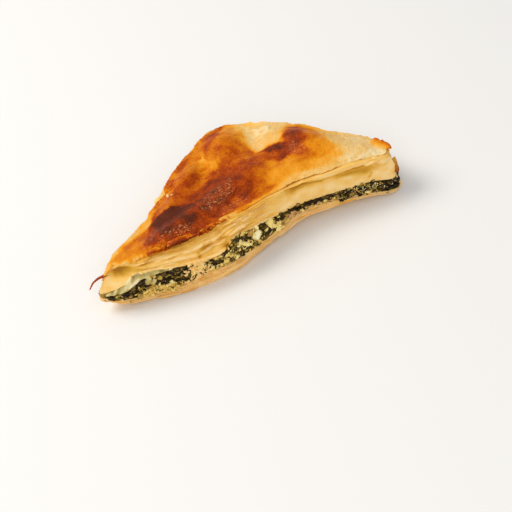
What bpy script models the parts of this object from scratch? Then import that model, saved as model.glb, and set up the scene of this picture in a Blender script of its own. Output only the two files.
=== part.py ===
"""
A cut piece of spinach and cheese pie: the right-angled half of a rectangle of baked pastry leaves.

Units are metres and +Z is up. The piece lies on the plane z = 0 with its long cut face towards -Y, its
thin tip at -X and its square corner at +Y. Three solids lie on one another: the lower pastry, the filling
that shows at every cut side, and the puffed upper pastry with its browned crust.
"""

import bpy
import bmesh
import numpy as np
from mathutils import Vector
from mathutils.geometry import delaunay_2d_cdt

MM = 0.001

# The middle of the whole piece's box, in the plan that the stations below are given in
PIECE_CENTRE = np.array([-0.3, 37.3]) * MM

# Stations round the rim, counter-clockwise from the thin tip, in millimetres: x and y of the foot of the
# wall, how far the crust's edge lies from it in x and y, and the heights of the underside, of the
# filling's bottom and top and of the crust's edge
STATIONS = (
    (-86.0, 3.5, 5.0, 0.0, 8.0, 9.5, 12.0, 21.5),
    (-78.0, -2.0, 1.5, 5.0, 4.5, 7.2, 15.2, 24.5),
    (-62.0, -4.5, 0.0, 5.5, 0.6, 6.2, 20.2, 26.8),
    (-43.0, -8.8, 0.0, 8.0, 0.0, 6.2, 18.6, 28.0),
    (-28.0, -10.2, 0.0, 8.6, 0.0, 9.4, 16.6, 28.7),
    (-18.0, -9.6, 0.0, 8.2, 0.1, 8.4, 16.8, 29.1),
    (-9.0, -7.4, 0.0, 7.2, 0.2, 7.6, 21.4, 29.4),
    (1.0, -3.5, 0.0, 4.0, 0.8, 6.6, 20.0, 29.2),
    (16.0, 2.2, 0.0, 3.0, 2.5, 6.5, 16.6, 28.3),
    (33.0, 6.0, 0.0, 1.0, 4.0, 9.5, 14.8, 28.0),
    (47.0, 5.6, 0.0, 0.2, 4.0, 8.2, 14.0, 28.3),
    (60.0, 4.4, 0.0, 0.5, 4.0, 7.0, 13.6, 28.5),
    (73.0, 3.0, 0.0, 0.5, 2.6, 5.0, 12.8, 27.7),
    (86.0, 2.8, -2.5, 1.0, 1.5, 3.0, 10.3, 26.6),
    (89.0, 9.0, -3.5, 0.0, 1.0, 3.5, 11.0, 25.6),
    (85.0, 22.0, -1.5, -0.5, 0.0, 4.0, 12.0, 24.5),
    (73.0, 38.0, -0.5, -0.5, 0.0, 4.5, 13.0, 23.5),
    (56.0, 54.0, 0.0, 0.0, 0.0, 5.0, 14.0, 26.0),
    (41.0, 68.0, 0.0, -0.5, 0.0, 5.0, 13.5, 27.0),
    (28.0, 78.5, 0.0, -0.5, 0.0, 4.5, 12.0, 25.0),
    (14.0, 84.5, 0.0, -0.5, 0.3, 4.0, 11.5, 25.0),
    (3.0, 81.0, 0.0, -0.5, 0.0, 4.5, 12.5, 26.0),
    (-12.0, 69.5, 0.0, 0.0, 0.0, 5.0, 14.0, 26.0),
    (-27.0, 55.0, 0.0, 0.0, 0.0, 5.5, 15.5, 26.0),
    (-41.0, 38.0, 0.0, 0.0, 0.0, 6.0, 15.0, 25.5),
    (-54.5, 26.0, 0.0, 0.0, 0.2, 5.5, 14.0, 25.0),
    (-74.5, 13.0, 0.5, -0.5, 3.0, 6.5, 13.0, 24.0),
)
UNDERSIDE, FILLING_BOTTOM, FILLING_TOP, CRUST_EDGE = range(4)

# Puffs and hollows of the crust, in millimetres: x, y, direction of the long way in degrees, half length,
# half width and height
PUFFS = (
    (-37.0, 9.0, 22.0, 25.0, 9.0, 5.4),
    (-8.0, 24.0, 28.0, 12.0, 8.0, 3.0),
    (12.0, 30.0, 55.0, 16.0, 9.0, 4.2),
    (9.0, 64.0, 70.0, 13.0, 11.0, 5.4),
    (-18.0, 48.0, 45.0, 11.0, 7.0, 4.0),
    (-34.0, 31.0, 42.0, 10.0, 6.0, 3.2),
    (49.0, 41.0, -50.0, 20.0, 12.0, 6.0),
    (37.0, 22.0, 0.0, 14.0, 9.0, 2.6),
    (68.0, 20.0, -20.0, 12.0, 9.0, 2.0),
    (26.0, 60.0, 75.0, 14.0, 6.0, -2.8),
    (-8.0, 49.0, 60.0, 14.0, 4.5, -2.0),
    (-64.0, 8.0, 20.0, 10.0, 6.0, 1.2),
    (21.0, 12.0, 10.0, 20.0, 5.0, -1.0),
)

# Hollows between the leaves of the long cut face: x, height, half length, half height and depth
POCKETS = (
    (-70.0, 23.0, 7.0, 1.8, 4.5),
    (-28.0, 19.4, 8.0, 1.8, 3.0),
)

# Loose flakes that stand out of the crust or the sides: middle, size along, across and thick, heading,
# slope along and slope across in degrees, and how far the middle arches up
FLAKES = (
    ((30.5, 67.5, 24.4), (22.0, 14.0, 1.0), -42.0, 3.0, 3.0, 1.2),
    ((84.3, 14.0, 25.8), (13.0, 4.5, 1.2), 111.0, 2.0, -18.0, 0.8),
    ((87.2, 4.6, 16.8), (4.4, 9.0, 1.1), 14.0, -4.0, 74.0, 0.4),
    ((-36.5, 43.0, 24.2), (7.0, 5.0, 2.2), 45.0, 0.0, -8.0, 0.6),
    ((-56.0, 2.0, 27.0), (11.0, 4.5, 1.0), 4.0, 3.0, 8.0, 0.6),
    ((-38.0, 0.6, 28.4), (13.0, 4.5, 1.0), -3.0, 2.0, 9.0, 0.8),
    ((-20.0, 0.0, 29.0), (9.0, 4.0, 1.0), 6.0, -3.0, 8.0, 0.6),
    ((-6.0, 0.5, 29.5), (10.0, 5.0, 1.0), 12.0, 4.0, 8.0, 0.8),
    ((6.0, 3.5, 29.2), (8.0, 4.0, 1.0), 30.0, -3.0, 8.0, 0.5),
    ((1.5, 79.8, 22.0), (10.0, 5.0, 1.0), 35.0, 0.0, -14.0, 0.5),
    ((72.0, 39.5, 20.5), (11.0, 5.0, 1.0), -48.0, 4.0, -10.0, 0.6),
    ((-60.0, 21.0, 19.0), (10.0, 5.0, 1.0), 42.0, -3.0, -8.0, 0.5),
)

# The curled shred at the thin tip: its run, its width and its thickness
SHRED_POINTS = (
    (-78.0, 4.0, 22.0),
    (-83.5, 5.0, 21.0),
    (-87.5, 5.0, 19.5),
    (-90.5, 3.5, 16.5),
)
SHRED_WIDTH = 1.8 * MM
SHRED_THICKNESS = 1.0 * MM

# The gap between solids that lie on one another, how far in from the rim a lifted underside comes down
# to the plane, and how far in the crust's puffs reach their full height
GAP = 0.3 * MM
LIFT_REACH = 13.0 * MM
PUFF_REACH = 6.0 * MM

# How finely the faces are split: points round the rim, and the sides of the triangles on the crust and on
# the faces that lie inside, with the height of a row of such triangles and their clearance from the rim
RIM_COUNT = 144
CRUST_SPACING = 3.3 * MM
INNER_SPACING = 8.0 * MM
ROW_HEIGHT = 0.866
RIM_CLEARANCE = 0.62
SEED = 7


def clear_scene():
    """Start from an empty scene."""
    for item in list(bpy.data.objects):
        bpy.data.objects.remove(item, do_unlink=True)


def smooth_loop(knots, values, at):
    """Smooth closed curve through the values at the knots, the last knot closing the loop."""
    length = np.diff(knots)
    slope = (np.roll(values, -1, axis=0) - values) / length[:, None]
    before = np.roll(slope, 1, axis=0)
    length_before = np.roll(length, 1)[:, None]
    tangent = (slope * length_before + before * length[:, None]) / (length_before + length[:, None])
    place = np.searchsorted(knots, at, side="right") - 1
    following = (place + 1) % len(values)
    step = length[place][:, None]
    t = ((at - knots[place]) / length[place])[:, None]
    start = (2 * t**3 - 3 * t**2 + 1) * values[place] + (t**3 - 2 * t**2 + t) * step * tangent[place]
    end = (3 * t**2 - 2 * t**3) * values[following] + (t**3 - t**2) * step * tangent[following]
    return start + end


def make_rim(count):
    """The wall's foot, its outward directions, the way to the crust's edge and the station heights."""
    stations = np.array(STATIONS) * MM
    stations[:, :2] -= PIECE_CENTRE
    closed = np.vstack([stations, stations[:1]])
    knots = np.concatenate([[0.0], np.cumsum(np.linalg.norm(np.diff(closed[:, :2], axis=0), axis=1))])
    at = np.arange(count) / count * knots[-1]
    rows = smooth_loop(knots, stations, at)
    rows[:, 4] = np.maximum(rows[:, 4], 0.0)
    along = np.roll(rows[:, :2], -1, axis=0) - np.roll(rows[:, :2], 1, axis=0)
    along /= np.linalg.norm(along, axis=1)[:, None]
    outward = np.stack([along[:, 1], -along[:, 0]], axis=1)
    return rows[:, :2], outward, rows[:, 2:4], rows[:, 4:]


def spread(rim, values, points):
    """Mean value interpolation of values on the closed rim to points inside it."""
    arm = rim[None] - points[:, None]
    reach = np.maximum(np.linalg.norm(arm, axis=2), 1e-9)
    next_arm = np.roll(arm, -1, axis=1)
    cross = arm[..., 0] * next_arm[..., 1] - arm[..., 1] * next_arm[..., 0]
    dot = (arm * next_arm).sum(axis=2)
    half = cross / np.maximum(reach * np.roll(reach, -1, axis=1) + dot, 1e-12)
    weight = (half + np.roll(half, 1, axis=1)) / reach
    return (weight @ values) / weight.sum(axis=1)


def distance_to(rim, points):
    """Distance from each point to the nearest of the rim's points."""
    return np.linalg.norm(rim[None] - points[:, None], axis=2).min(axis=1)


def inside(rim, points):
    """Which points lie inside the closed rim."""
    x, y = points[:, :1], points[:, 1:]
    start, end = rim, np.roll(rim, -1, axis=0)
    spans = (start[None, :, 1] > y) != (end[None, :, 1] > y)
    rise = np.where(np.abs(end[:, 1] - start[:, 1]) < 1e-12, 1e-12, end[:, 1] - start[:, 1])
    crossing = start[None, :, 0] + (y - start[None, :, 1]) / rise * (end - start)[None, :, 0]
    return (spans & (x < crossing)).sum(axis=1) % 2 == 1


def ripple(rng, count, waves, size):
    """A smooth closed wobble with the given numbers of waves round the rim."""
    angle = np.arange(count) / count * 2 * np.pi
    total = np.zeros(count)
    for wave in waves:
        total += np.sin(wave * angle + rng.uniform(0, 2 * np.pi))
    return size * total / np.sqrt(len(waves))


def make_sheet(rim, spacing):
    """Triangles that fill the rim: the rim's own points first, then an even grid kept clear of it."""
    low, high = rim.min(axis=0), rim.max(axis=0)
    grid = []
    for row, y in enumerate(np.arange(low[1], high[1], spacing * ROW_HEIGHT)):
        for x in np.arange(low[0] + spacing / 2 * (row % 2), high[0], spacing):
            grid.append((x, y))
    grid = np.array(grid)
    keep = inside(rim, grid) & (distance_to(rim, grid) > RIM_CLEARANCE * spacing)
    points = np.vstack([rim, grid[keep]])
    result = delaunay_2d_cdt([Vector(p / MM) for p in points], [], [list(range(len(rim)))], 1, 1e-6)
    source = [ids[0] for ids in result[3]]
    triangles = [tuple(source[corner] for corner in face) for face in result[2]]
    return points, triangles


def join_layers(name, floor, rings, roof):
    """One closed solid from a floor sheet, the wall's rings between and a roof sheet."""
    floor_points, floor_triangles = floor
    roof_points, roof_triangles = roof
    vertices = np.vstack([floor_points] + rings + [roof_points])
    starts = [0] + [len(floor_points) + RIM_COUNT * i for i in range(len(rings) + 1)]
    faces = [(a, c, b) for a, b, c in floor_triangles]
    for lower, upper in zip(starts[:-1], starts[1:]):
        for i in range(RIM_COUNT):
            j = (i + 1) % RIM_COUNT
            if i % 2:
                faces += [(lower + i, lower + j, upper + j), (lower + i, upper + j, upper + i)]
            else:
                faces += [(lower + i, lower + j, upper + i), (lower + j, upper + j, upper + i)]
    faces += [tuple(starts[-1] + corner for corner in face) for face in roof_triangles]
    return make_object(name, vertices, faces)


def make_object(name, vertices, faces):
    """A mesh object from arrays, shaded smooth except over sharp edges."""
    mesh = bpy.data.meshes.new(name)
    mesh.from_pydata([tuple(v) for v in vertices], [], faces)
    mesh.validate()
    mesh.shade_smooth()
    mesh.set_sharp_from_angle(angle=np.radians(50))
    item = bpy.data.objects.new(name, mesh)
    bpy.context.scene.collection.objects.link(item)
    return item


def paint(item, colour, roughness):
    """Give an object its own plain material."""
    material = bpy.data.materials.new(item.name)
    material.use_nodes = True
    shader = material.node_tree.nodes["Principled BSDF"]
    shader.inputs["Base Color"].default_value = (*colour, 1.0)
    shader.inputs["Roughness"].default_value = roughness
    item.data.materials.append(material)


def lift_out(points, height):
    """Points of the plan with their heights."""
    return np.column_stack([points, height])


def underside_height(rim, heights, points):
    """Flat in the middle, rising only where the rim itself is lifted."""
    fade = np.clip(1 - distance_to(rim, points) / LIFT_REACH, 0, 1)
    fade = fade * fade * (3 - 2 * fade)
    return spread(rim, heights[:, UNDERSIDE], points) * fade


def crust_height(rim, heights, points):
    """The crust: level with the rim at its edge, with rounded puffs and creases further in."""
    height = spread(rim, heights[:, CRUST_EDGE], points)
    window = 1 - np.exp(-((distance_to(rim, points) / PUFF_REACH) ** 2))
    for x, y, heading, half_length, half_width, rise in PUFFS:
        offset = points - (np.array([x, y]) * MM - PIECE_CENTRE)
        turn = np.radians(heading)
        along = offset @ np.array([np.cos(turn), np.sin(turn)]) / (half_length * MM)
        across = offset @ np.array([-np.sin(turn), np.cos(turn)]) / (half_width * MM)
        height = height + window * rise * MM * np.exp(-(along**2) - across**2)
    return height


def pocket_depth(ring):
    """How far the hollows between the leaves push a ring of the wall inwards."""
    depth = np.zeros(len(ring))
    front = ring[:, 1] + PIECE_CENTRE[1] < 2.0 * MM
    for x, z, half_length, half_height, deep in POCKETS:
        along = (ring[:, 0] + PIECE_CENTRE[0] - x * MM) / (half_length * MM)
        up = (ring[:, 2] - z * MM) / (half_height * MM)
        depth += deep * MM * np.exp(-(along**4) - up**2) * front
    return depth


def wall_ring(rim, outward, bottom, top, share, offset):
    """One ring of a wall, a share of the way up between two heights and moved out by an offset."""
    ring = lift_out(rim + outward * offset[:, None], bottom + (top - bottom) * share)
    ring[:, :2] -= outward * pocket_depth(ring)[:, None]
    return ring


def make_flake(middle, size, heading, slope_along, slope_across, arch):
    """A thin wavy leaf with uneven edges, both of its faces split alike."""
    steps = 6
    outline = (0.55, 0.9, 1.0, 0.86, 1.0, 0.72, 0.4)
    length, width, thick = (value * MM for value in size)
    turn, pitch, roll = np.radians([heading, slope_along, slope_across])
    along = np.array([np.cos(turn) * np.cos(pitch), np.sin(turn) * np.cos(pitch), np.sin(pitch)])
    level = np.array([-np.sin(turn), np.cos(turn), 0.0])
    up = np.cross(along, level)
    across = level * np.cos(roll) + up * np.sin(roll)
    normal = np.cross(along, across)
    centre = np.array(middle) * MM
    centre[:2] -= PIECE_CENTRE
    vertices = []
    for side in (-0.5, 0.5):
        for i in range(steps + 1):
            t = i / steps - 0.5
            bend = arch * MM * (1 - 4 * t * t)
            for k in (-0.5, 0.0, 0.5):
                wave = 0.25 * thick * np.sin(9 * t + 5 * k)
                place = centre + along * (t * length) + across * (k * width * outline[i])
                vertices.append(place + normal * (side * thick + bend + wave))
    return make_strip("flake", vertices, steps, 3)


def make_strip(name, vertices, steps, columns):
    """Close two like grids of points, the first below the second, into one solid."""
    half = len(vertices) // 2
    faces = []
    for i in range(steps):
        for k in range(columns - 1):
            a = i * columns + k
            b, c, d = a + columns, a + columns + 1, a + 1
            faces += [(a, c, b), (a, d, c)]
            faces += [(half + a, half + b, half + c), (half + a, half + c, half + d)]
    border = [k for k in range(columns)]
    border += [i * columns + columns - 1 for i in range(1, steps + 1)]
    border += [steps * columns + k for k in range(columns - 2, -1, -1)]
    border += [i * columns for i in range(steps - 1, 0, -1)]
    for a, b in zip(border, border[1:] + border[:1]):
        faces += [(a, half + a, half + b), (a, half + b, b)]
    item = make_object(name, vertices, faces)
    tidy = bmesh.new()
    tidy.from_mesh(item.data)
    bmesh.ops.recalc_face_normals(tidy, faces=tidy.faces)
    tidy.to_mesh(item.data)
    tidy.free()
    return item


def make_shred():
    """The thin curled shred that hangs off the tip."""
    run = np.array(SHRED_POINTS) * MM
    run[:, :2] -= PIECE_CENTRE
    vertices = []
    for side in (-0.5, 0.5):
        for i, place in enumerate(run):
            taper = 1 - 0.35 * i / (len(run) - 1)
            for k in (-0.5, 0.5):
                across = np.array([0.0, k * SHRED_WIDTH * taper, 0.0])
                vertices.append(place + across + np.array([0.0, 0.0, side * SHRED_THICKNESS * taper]))
    return make_strip("shred", vertices, len(run) - 1, 2)


def fuse(item, pieces):
    """Join loose pieces to a solid with one Boolean union and remove them."""
    group = bpy.data.collections.new("loose pieces")
    bpy.context.scene.collection.children.link(group)
    for piece in pieces:
        bpy.context.scene.collection.objects.unlink(piece)
        group.objects.link(piece)
    union = item.modifiers.new("fused pieces", "BOOLEAN")
    union.operation = "UNION"
    union.operand_type = "COLLECTION"
    union.collection = group
    union.solver = "EXACT"
    bpy.context.view_layer.update()
    seen = item.evaluated_get(bpy.context.evaluated_depsgraph_get())
    fused = bpy.data.meshes.new_from_object(seen)
    item.modifiers.clear()
    item.data = fused
    for piece in pieces:
        bpy.data.objects.remove(piece, do_unlink=True)
    bpy.data.collections.remove(group)


def make_lower_pastry(rim, outward, heights, seam):
    """The pale leaves that the filling lies on."""
    rng = np.random.default_rng(SEED)
    bottom, top = heights[:, UNDERSIDE], heights[:, FILLING_BOTTOM] - GAP / 2
    tucked = ripple(rng, RIM_COUNT, (3, 7, 11), 0.3 * MM) - 0.8 * MM
    floor_points, floor_triangles = make_sheet(rim + outward * tucked[:, None], INNER_SPACING)
    floor = lift_out(floor_points, underside_height(rim, heights, floor_points))
    floor[:RIM_COUNT, 2] = bottom
    rings = []
    for share, out in ((0.2, 0.2), (0.45, -0.5), (0.7, 0.6)):
        wobble = ripple(rng, RIM_COUNT, (4, 9, 17, 27), 0.25 * MM) + out * MM
        rings.append(wall_ring(rim, outward, bottom, top, share, wobble))
    roof = lift_out(seam[0], spread(rim, heights[:, FILLING_BOTTOM], seam[0]) - GAP / 2)
    roof[:RIM_COUNT, 2] = top
    item = join_layers("lower_pastry", (floor, floor_triangles), rings, (roof, seam[1]))
    paint(item, (0.80, 0.56, 0.26), 0.6)
    return item


def make_filling(rim, outward, heights, low_seam, high_seam):
    """Chopped spinach with crumbled white cheese, uneven where it is cut."""
    rng = np.random.default_rng(SEED + 1)
    bottom = heights[:, FILLING_BOTTOM] + GAP / 2
    top = heights[:, FILLING_TOP] - GAP / 2
    floor = lift_out(low_seam[0], spread(rim, heights[:, FILLING_BOTTOM], low_seam[0]) + GAP / 2)
    floor[:RIM_COUNT, 2] = bottom
    rings = []
    for share in (0.15, 0.38, 0.62, 0.85):
        lumps = ripple(rng, RIM_COUNT, (13, 23, 37, 47), 0.7 * MM) - 0.5 * MM
        rings.append(wall_ring(rim, outward, bottom, top, share, lumps))
    roof = lift_out(high_seam[0], spread(rim, heights[:, FILLING_TOP], high_seam[0]) - GAP / 2)
    roof[:RIM_COUNT, 2] = top
    item = join_layers("spinach_filling", (floor, low_seam[1]), rings, (roof, high_seam[1]))
    paint(item, (0.10, 0.11, 0.04), 0.45)
    return item


def make_upper_pastry(rim, outward, lean, heights, seam):
    """The puffed leaves above the filling, with the browned crust and its loose flakes."""
    rng = np.random.default_rng(SEED + 2)
    bottom, top = heights[:, FILLING_TOP] + GAP / 2, heights[:, CRUST_EDGE]
    floor = lift_out(seam[0], spread(rim, heights[:, FILLING_TOP], seam[0]) + GAP / 2)
    floor[:RIM_COUNT, 2] = bottom
    rings = []
    ledges = ((0.1, 0.6), (0.24, -0.4), (0.38, 0.5), (0.52, -0.5), (0.66, 0.3), (0.8, -0.6), (0.92, 0.8))
    for share, out in ledges:
        wobble = ripple(rng, RIM_COUNT, (5, 11, 19, 29), 0.3 * MM) + out * MM
        rings.append(wall_ring(rim + share * lean, outward, bottom, top, share, wobble))
    edge = ripple(rng, RIM_COUNT, (6, 13, 23, 31), 0.35 * MM)
    roof_points, roof_triangles = make_sheet(rim + lean + outward * edge[:, None], CRUST_SPACING)
    roof = lift_out(roof_points, crust_height(rim + lean, heights, roof_points))
    roof[:RIM_COUNT, 2] = top
    item = join_layers("upper_pastry", (floor, seam[1]), rings, (roof, roof_triangles))
    fuse(item, [make_flake(*flake) for flake in FLAKES] + [make_shred()])
    paint(item, (0.66, 0.28, 0.06), 0.3)
    return item


def make_seam(rim, outward, rng):
    """The sheet where two layers meet, the same in both of them."""
    return make_sheet(rim + outward * ripple(rng, RIM_COUNT, (4, 9, 21), 0.25 * MM)[:, None], INNER_SPACING)


def main():
    """Build the piece."""
    clear_scene()
    rim, outward, lean, heights = make_rim(RIM_COUNT)
    rng = np.random.default_rng(SEED + 3)
    low_seam = make_seam(rim, outward, rng)
    high_seam = make_seam(rim, outward, rng)
    make_lower_pastry(rim, outward, heights, low_seam)
    make_filling(rim, outward, heights, low_seam, high_seam)
    make_upper_pastry(rim, outward, lean, heights, high_seam)


main()
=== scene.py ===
"""
The looks of a cut piece of spinach and cheese pie: a browned, puffed and glossy crust over many thin
leaves of pastry, a moist dark filling with crumbled cheese and onion, and pale leaves below it.
Units are metres, the long cut side faces -Y and the thin tip points to -X.
"""

from itertools import product

import bmesh
import bpy
import numpy as np
from mathutils import Matrix, Vector
from mathutils.geometry import delaunay_2d_cdt


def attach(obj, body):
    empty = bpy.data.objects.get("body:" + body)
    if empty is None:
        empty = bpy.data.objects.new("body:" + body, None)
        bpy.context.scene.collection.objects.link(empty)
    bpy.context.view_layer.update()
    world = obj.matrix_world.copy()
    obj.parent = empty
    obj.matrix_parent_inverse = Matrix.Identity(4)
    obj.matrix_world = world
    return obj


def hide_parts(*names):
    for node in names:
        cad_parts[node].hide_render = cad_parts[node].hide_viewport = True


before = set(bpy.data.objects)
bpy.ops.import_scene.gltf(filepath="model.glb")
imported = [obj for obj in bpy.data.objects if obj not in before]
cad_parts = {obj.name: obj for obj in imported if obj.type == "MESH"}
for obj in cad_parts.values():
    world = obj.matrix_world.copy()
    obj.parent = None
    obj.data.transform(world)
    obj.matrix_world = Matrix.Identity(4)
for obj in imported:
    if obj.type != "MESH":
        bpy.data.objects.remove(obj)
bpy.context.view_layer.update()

MM = 0.001
BODY = "root"
UP = np.array([0.0, 0.0, 1.0])

# The middle of the whole piece's box, in the plan that the tables below are given in
PIECE_CENTRE = np.array([-0.3, 37.3]) * MM

# Stations round the rim, counter-clockwise from the thin tip, in millimetres: x and y of the foot of the
# wall, how far the crust's edge lies from it in x and y, and the heights of the underside, of the
# filling's bottom and top and of the crust's edge
STATIONS = (
    (-86, 3.5, 5, 0, 8, 9.5, 12, 21.5), (-78, -2, 1.5, 5, 4.5, 7.2, 15.2, 24.5),
    (-62, -4.5, 0, 5.5, 0.6, 6.2, 20.2, 26.8), (-43, -8.8, 0, 8, 0, 6.2, 18.6, 28),
    (-28, -10.2, 0, 8.6, 0, 9.4, 16.6, 28.7), (-18, -9.6, 0, 8.2, 0.1, 8.4, 16.8, 29.1),
    (-9, -7.4, 0, 7.2, 0.2, 7.6, 21.4, 29.4), (1, -3.5, 0, 4, 0.8, 6.6, 20, 29.2),
    (16, 2.2, 0, 3, 2.5, 6.5, 16.6, 28.3), (33, 6, 0, 1, 4, 9.5, 14.8, 28),
    (47, 5.6, 0, 0.2, 4, 8.2, 14, 28.3), (60, 4.4, 0, 0.5, 4, 7, 13.6, 28.5),
    (73, 3, 0, 0.5, 2.6, 5, 12.8, 27.7), (86, 2.8, -2.5, 1, 1.5, 3, 10.3, 26.6),
    (89, 9, -3.5, 0, 1, 3.5, 11, 25.6), (85, 22, -1.5, -0.5, 0, 4, 12, 24.5),
    (73, 38, -0.5, -0.5, 0, 4.5, 13, 23.5), (56, 54, 0, 0, 0, 5, 14, 26), (41, 68, 0, -0.5, 0, 5, 13.5, 27),
    (28, 78.5, 0, -0.5, 0, 4.5, 12, 25), (14, 84.5, 0, -0.5, 0.3, 4, 11.5, 25),
    (3, 81, 0, -0.5, 0, 4.5, 12.5, 26), (-12, 69.5, 0, 0, 0, 5, 14, 26), (-27, 55, 0, 0, 0, 5.5, 15.5, 26),
    (-41, 38, 0, 0, 0, 6, 15, 25.5), (-54.5, 26, 0, 0, 0.2, 5.5, 14, 25),
    (-74.5, 13, 0.5, -0.5, 3, 6.5, 13, 24),
)
UNDERSIDE, FILLING_BOTTOM, FILLING_TOP, CRUST_EDGE = range(4)

# Puffs and hollows of the crust, in millimetres: x, y, direction of the long way in degrees, half length,
# half width and height
PUFFS = (
    (-37, 9, 22, 25, 9, 5.4), (-8, 24, 28, 12, 8, 3), (12, 30, 55, 16, 9, 4.2), (9, 64, 70, 13, 11, 5.4),
    (-18, 48, 45, 11, 7, 4), (-34, 31, 42, 10, 6, 3.2), (49, 41, -50, 20, 12, 6), (37, 22, 0, 14, 9, 2.6),
    (68, 20, -20, 12, 9, 2), (26, 60, 75, 14, 6, -2.8), (-8, 49, 60, 14, 4.5, -2), (-64, 8, 20, 10, 6, 1.2),
    (21, 12, 10, 20, 5, -1),
)

# How brown the crust is baked, from 0, cream, to 1, purple brown: x, y, direction of the long way in
# degrees, half length, half width and brownness
BROWNING = (
    (-34, 18, 8, 9, 6, 0.92), (-41, 14, 15, 9, 6, 0.98), (-30, 10, 8, 12, 3, 0.96),
    (-50, 11, 60, 7, 4, 0.78), (-55, 14, 60, 6, 3, 0.5), (-18, 13, 20, 7, 4, 0.86),
    (-33, 24, 3, 11, 2, 0.88), (-20, 22, 60, 5, 3, 0.87), (-11, 18, 30, 8, 5, 0.86),
    (-12, 30, 40, 7, 5, 0.84), (-3, 34, 60, 7, 5, 0.82), (4, 38, 60, 6, 5, 0.78), (12, 38, 80, 7, 6, 0.73),
    (20, 36, 80, 6, 3.5, 0.7), (2, 22, 50, 7, 5, 0.84), (8, 17, 50, 6, 4, 0.8), (-4, 10, 15, 6, 3, 0.7),
    (6, 9, 20, 6, 3, 0.62), (14, 20, 60, 6, 3, 0.58), (14, 27, 70, 5, 4, 0.66), (20, 27, 60, 6, 3, 0.5),
    (27, 30, 40, 5, 4, 0.46), (21, 17, 20, 5, 4, 0.36), (10, 6, 10, 8, 2, 0.26), (-2, 3, 5, 8, 2, 0.4),
    (-14, 3, 5, 6, 2, 0.58), (-25, 3, 2, 8, 2.2, 0.78), (-38, 3, 0, 8, 2.2, 0.78), (-48, 3, 0, 6, 2, 0.64),
    (-58, 4, 5, 6, 2.4, 0.5), (-68, 5, 8, 7, 2, 0.46), (-77, 4.6, 10, 5, 1.6, 0.5),
    (-60, 12, 30, 8, 4, 0.46), (-68, 9, 25, 7, 3, 0.42), (-72, 15.5, 35, 8, 2.2, 0.12),
    (-57, 23, 38, 9, 2.4, 0.14), (-50, 26.5, 45, 6, 2.4, 0.24), (-42, 29.5, 40, 5, 1.8, 0.78),
    (-35, 32, 35, 8, 4, 0.54), (-26, 33, 20, 5, 5, 0.64), (-33, 40, 45, 4, 1.5, 0.6),
    (-28, 44, 45, 3, 2.5, 0.4), (-22, 42, 10, 6, 3, 0.66), (-14, 40, 10, 6, 3, 0.58),
    (-18, 47, 20, 6, 3, 0.6), (-26, 51, 50, 4, 2, 0.72), (-18, 55, 40, 8, 4, 0.47),
    (-14, 50, 30, 5, 3, 0.44), (-8, 60, 50, 6, 4, 0.45), (-17, 62, 45, 7, 1.6, 0.62),
    (-4.5, 60, 85, 8, 1.8, 0.38), (-1, 62, 80, 5, 1.5, 0.54), (-2, 50, 80, 5, 2, 0.34),
    (-7, 48, 60, 4, 2, 0.4), (-5, 68, 50, 6, 2, 0.4), (4, 70, 60, 7, 3, 0.62), (9, 79, 40, 6, 2, 0.68),
    (16, 76, 30, 6, 4, 0.34), (10, 66, 60, 6, 4, 0.45), (8, 56, 60, 6, 5, 0.57), (16, 58, 80, 7, 4, 0.5),
    (2, 56, 80, 6, 2.5, 0.46), (18, 48, 70, 7, 4, 0.54), (8, 46, 60, 7, 4, 0.62), (-2, 44, 50, 5, 3, 0.64),
    (22, 66, 75, 8, 2, 0.3), (30, 66, 80, 12, 6, 0.08), (40, 60, -45, 10, 5, 0.06), (26, 77, 60, 6, 4, 0.1),
    (30, 52, 30, 6, 4, 0.1), (36, 49, 30, 6, 3, 0.12), (45, 45, 60, 7, 5, 0.82), (47, 53, -40, 6, 3, 0.74),
    (33, 43, -25, 7, 2, 0.98), (42, 39, -20, 6, 3, 0.86), (37, 34, -20, 6, 3, 0.86),
    (32, 36, -30, 4, 2.5, 0.7), (45, 30, -20, 5, 4, 0.6), (45, 24, -20, 5, 3, 0.48),
    (55, 38, -75, 10, 4, 0.44), (56, 46, -60, 7, 3, 0.4), (54, 24, -75, 8, 4, 0.36),
    (58, 30, 90, 10, 3, 0.34), (30, 21, 10, 9, 4, 0.32), (42, 18, 5, 8, 3, 0.28), (37, 26, 10, 5, 3, 0.36),
    (54, 15, 0, 8, 3, 0.24), (61, 16, 0, 4, 3, 0.22), (18, 14, 20, 4, 2, 0.55), (30, 11, 5, 10, 2.5, 0.18),
    (48, 10, 0, 14, 2.5, 0.12), (68, 14, 0, 12, 6, 0.06), (66, 28, -70, 10, 4, 0.1),
    (62, 42, -60, 9, 2, 0.14), (76, 24, -60, 12, 5, 0.06), (79, 8, 0, 9, 4, 0),
    (84.5, 15, 105, 6, 1.8, 0.4),
)

# Folds of the crust, where one side stands over the other: points along the line and how much higher its
# left side is
FOLDS = (
    (((-49, 22), (-42, 26), (-34, 27.2), (-26, 25.8), (-20, 21), (-18, 15)), -1.2),
    (((13.5, 75), (8, 72), (4, 68), (-0.5, 63), (-1.5, 57)), 1.1),
    (((-5, 63), (-3, 55), (-2.5, 48), (-7, 42)), 0.6),
    (((24, 37.5), (29, 38.5), (33, 39), (40, 37.5)), -0.5),
    (((-30, 52), (-24, 46), (-17, 43), (-10, 38)), 0.5), (((-2, 15), (3, 20), (5, 27), (6, 34)), 0.5),
    (((58, 22), (68, 18), (80, 18)), 0.4),
)

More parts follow.
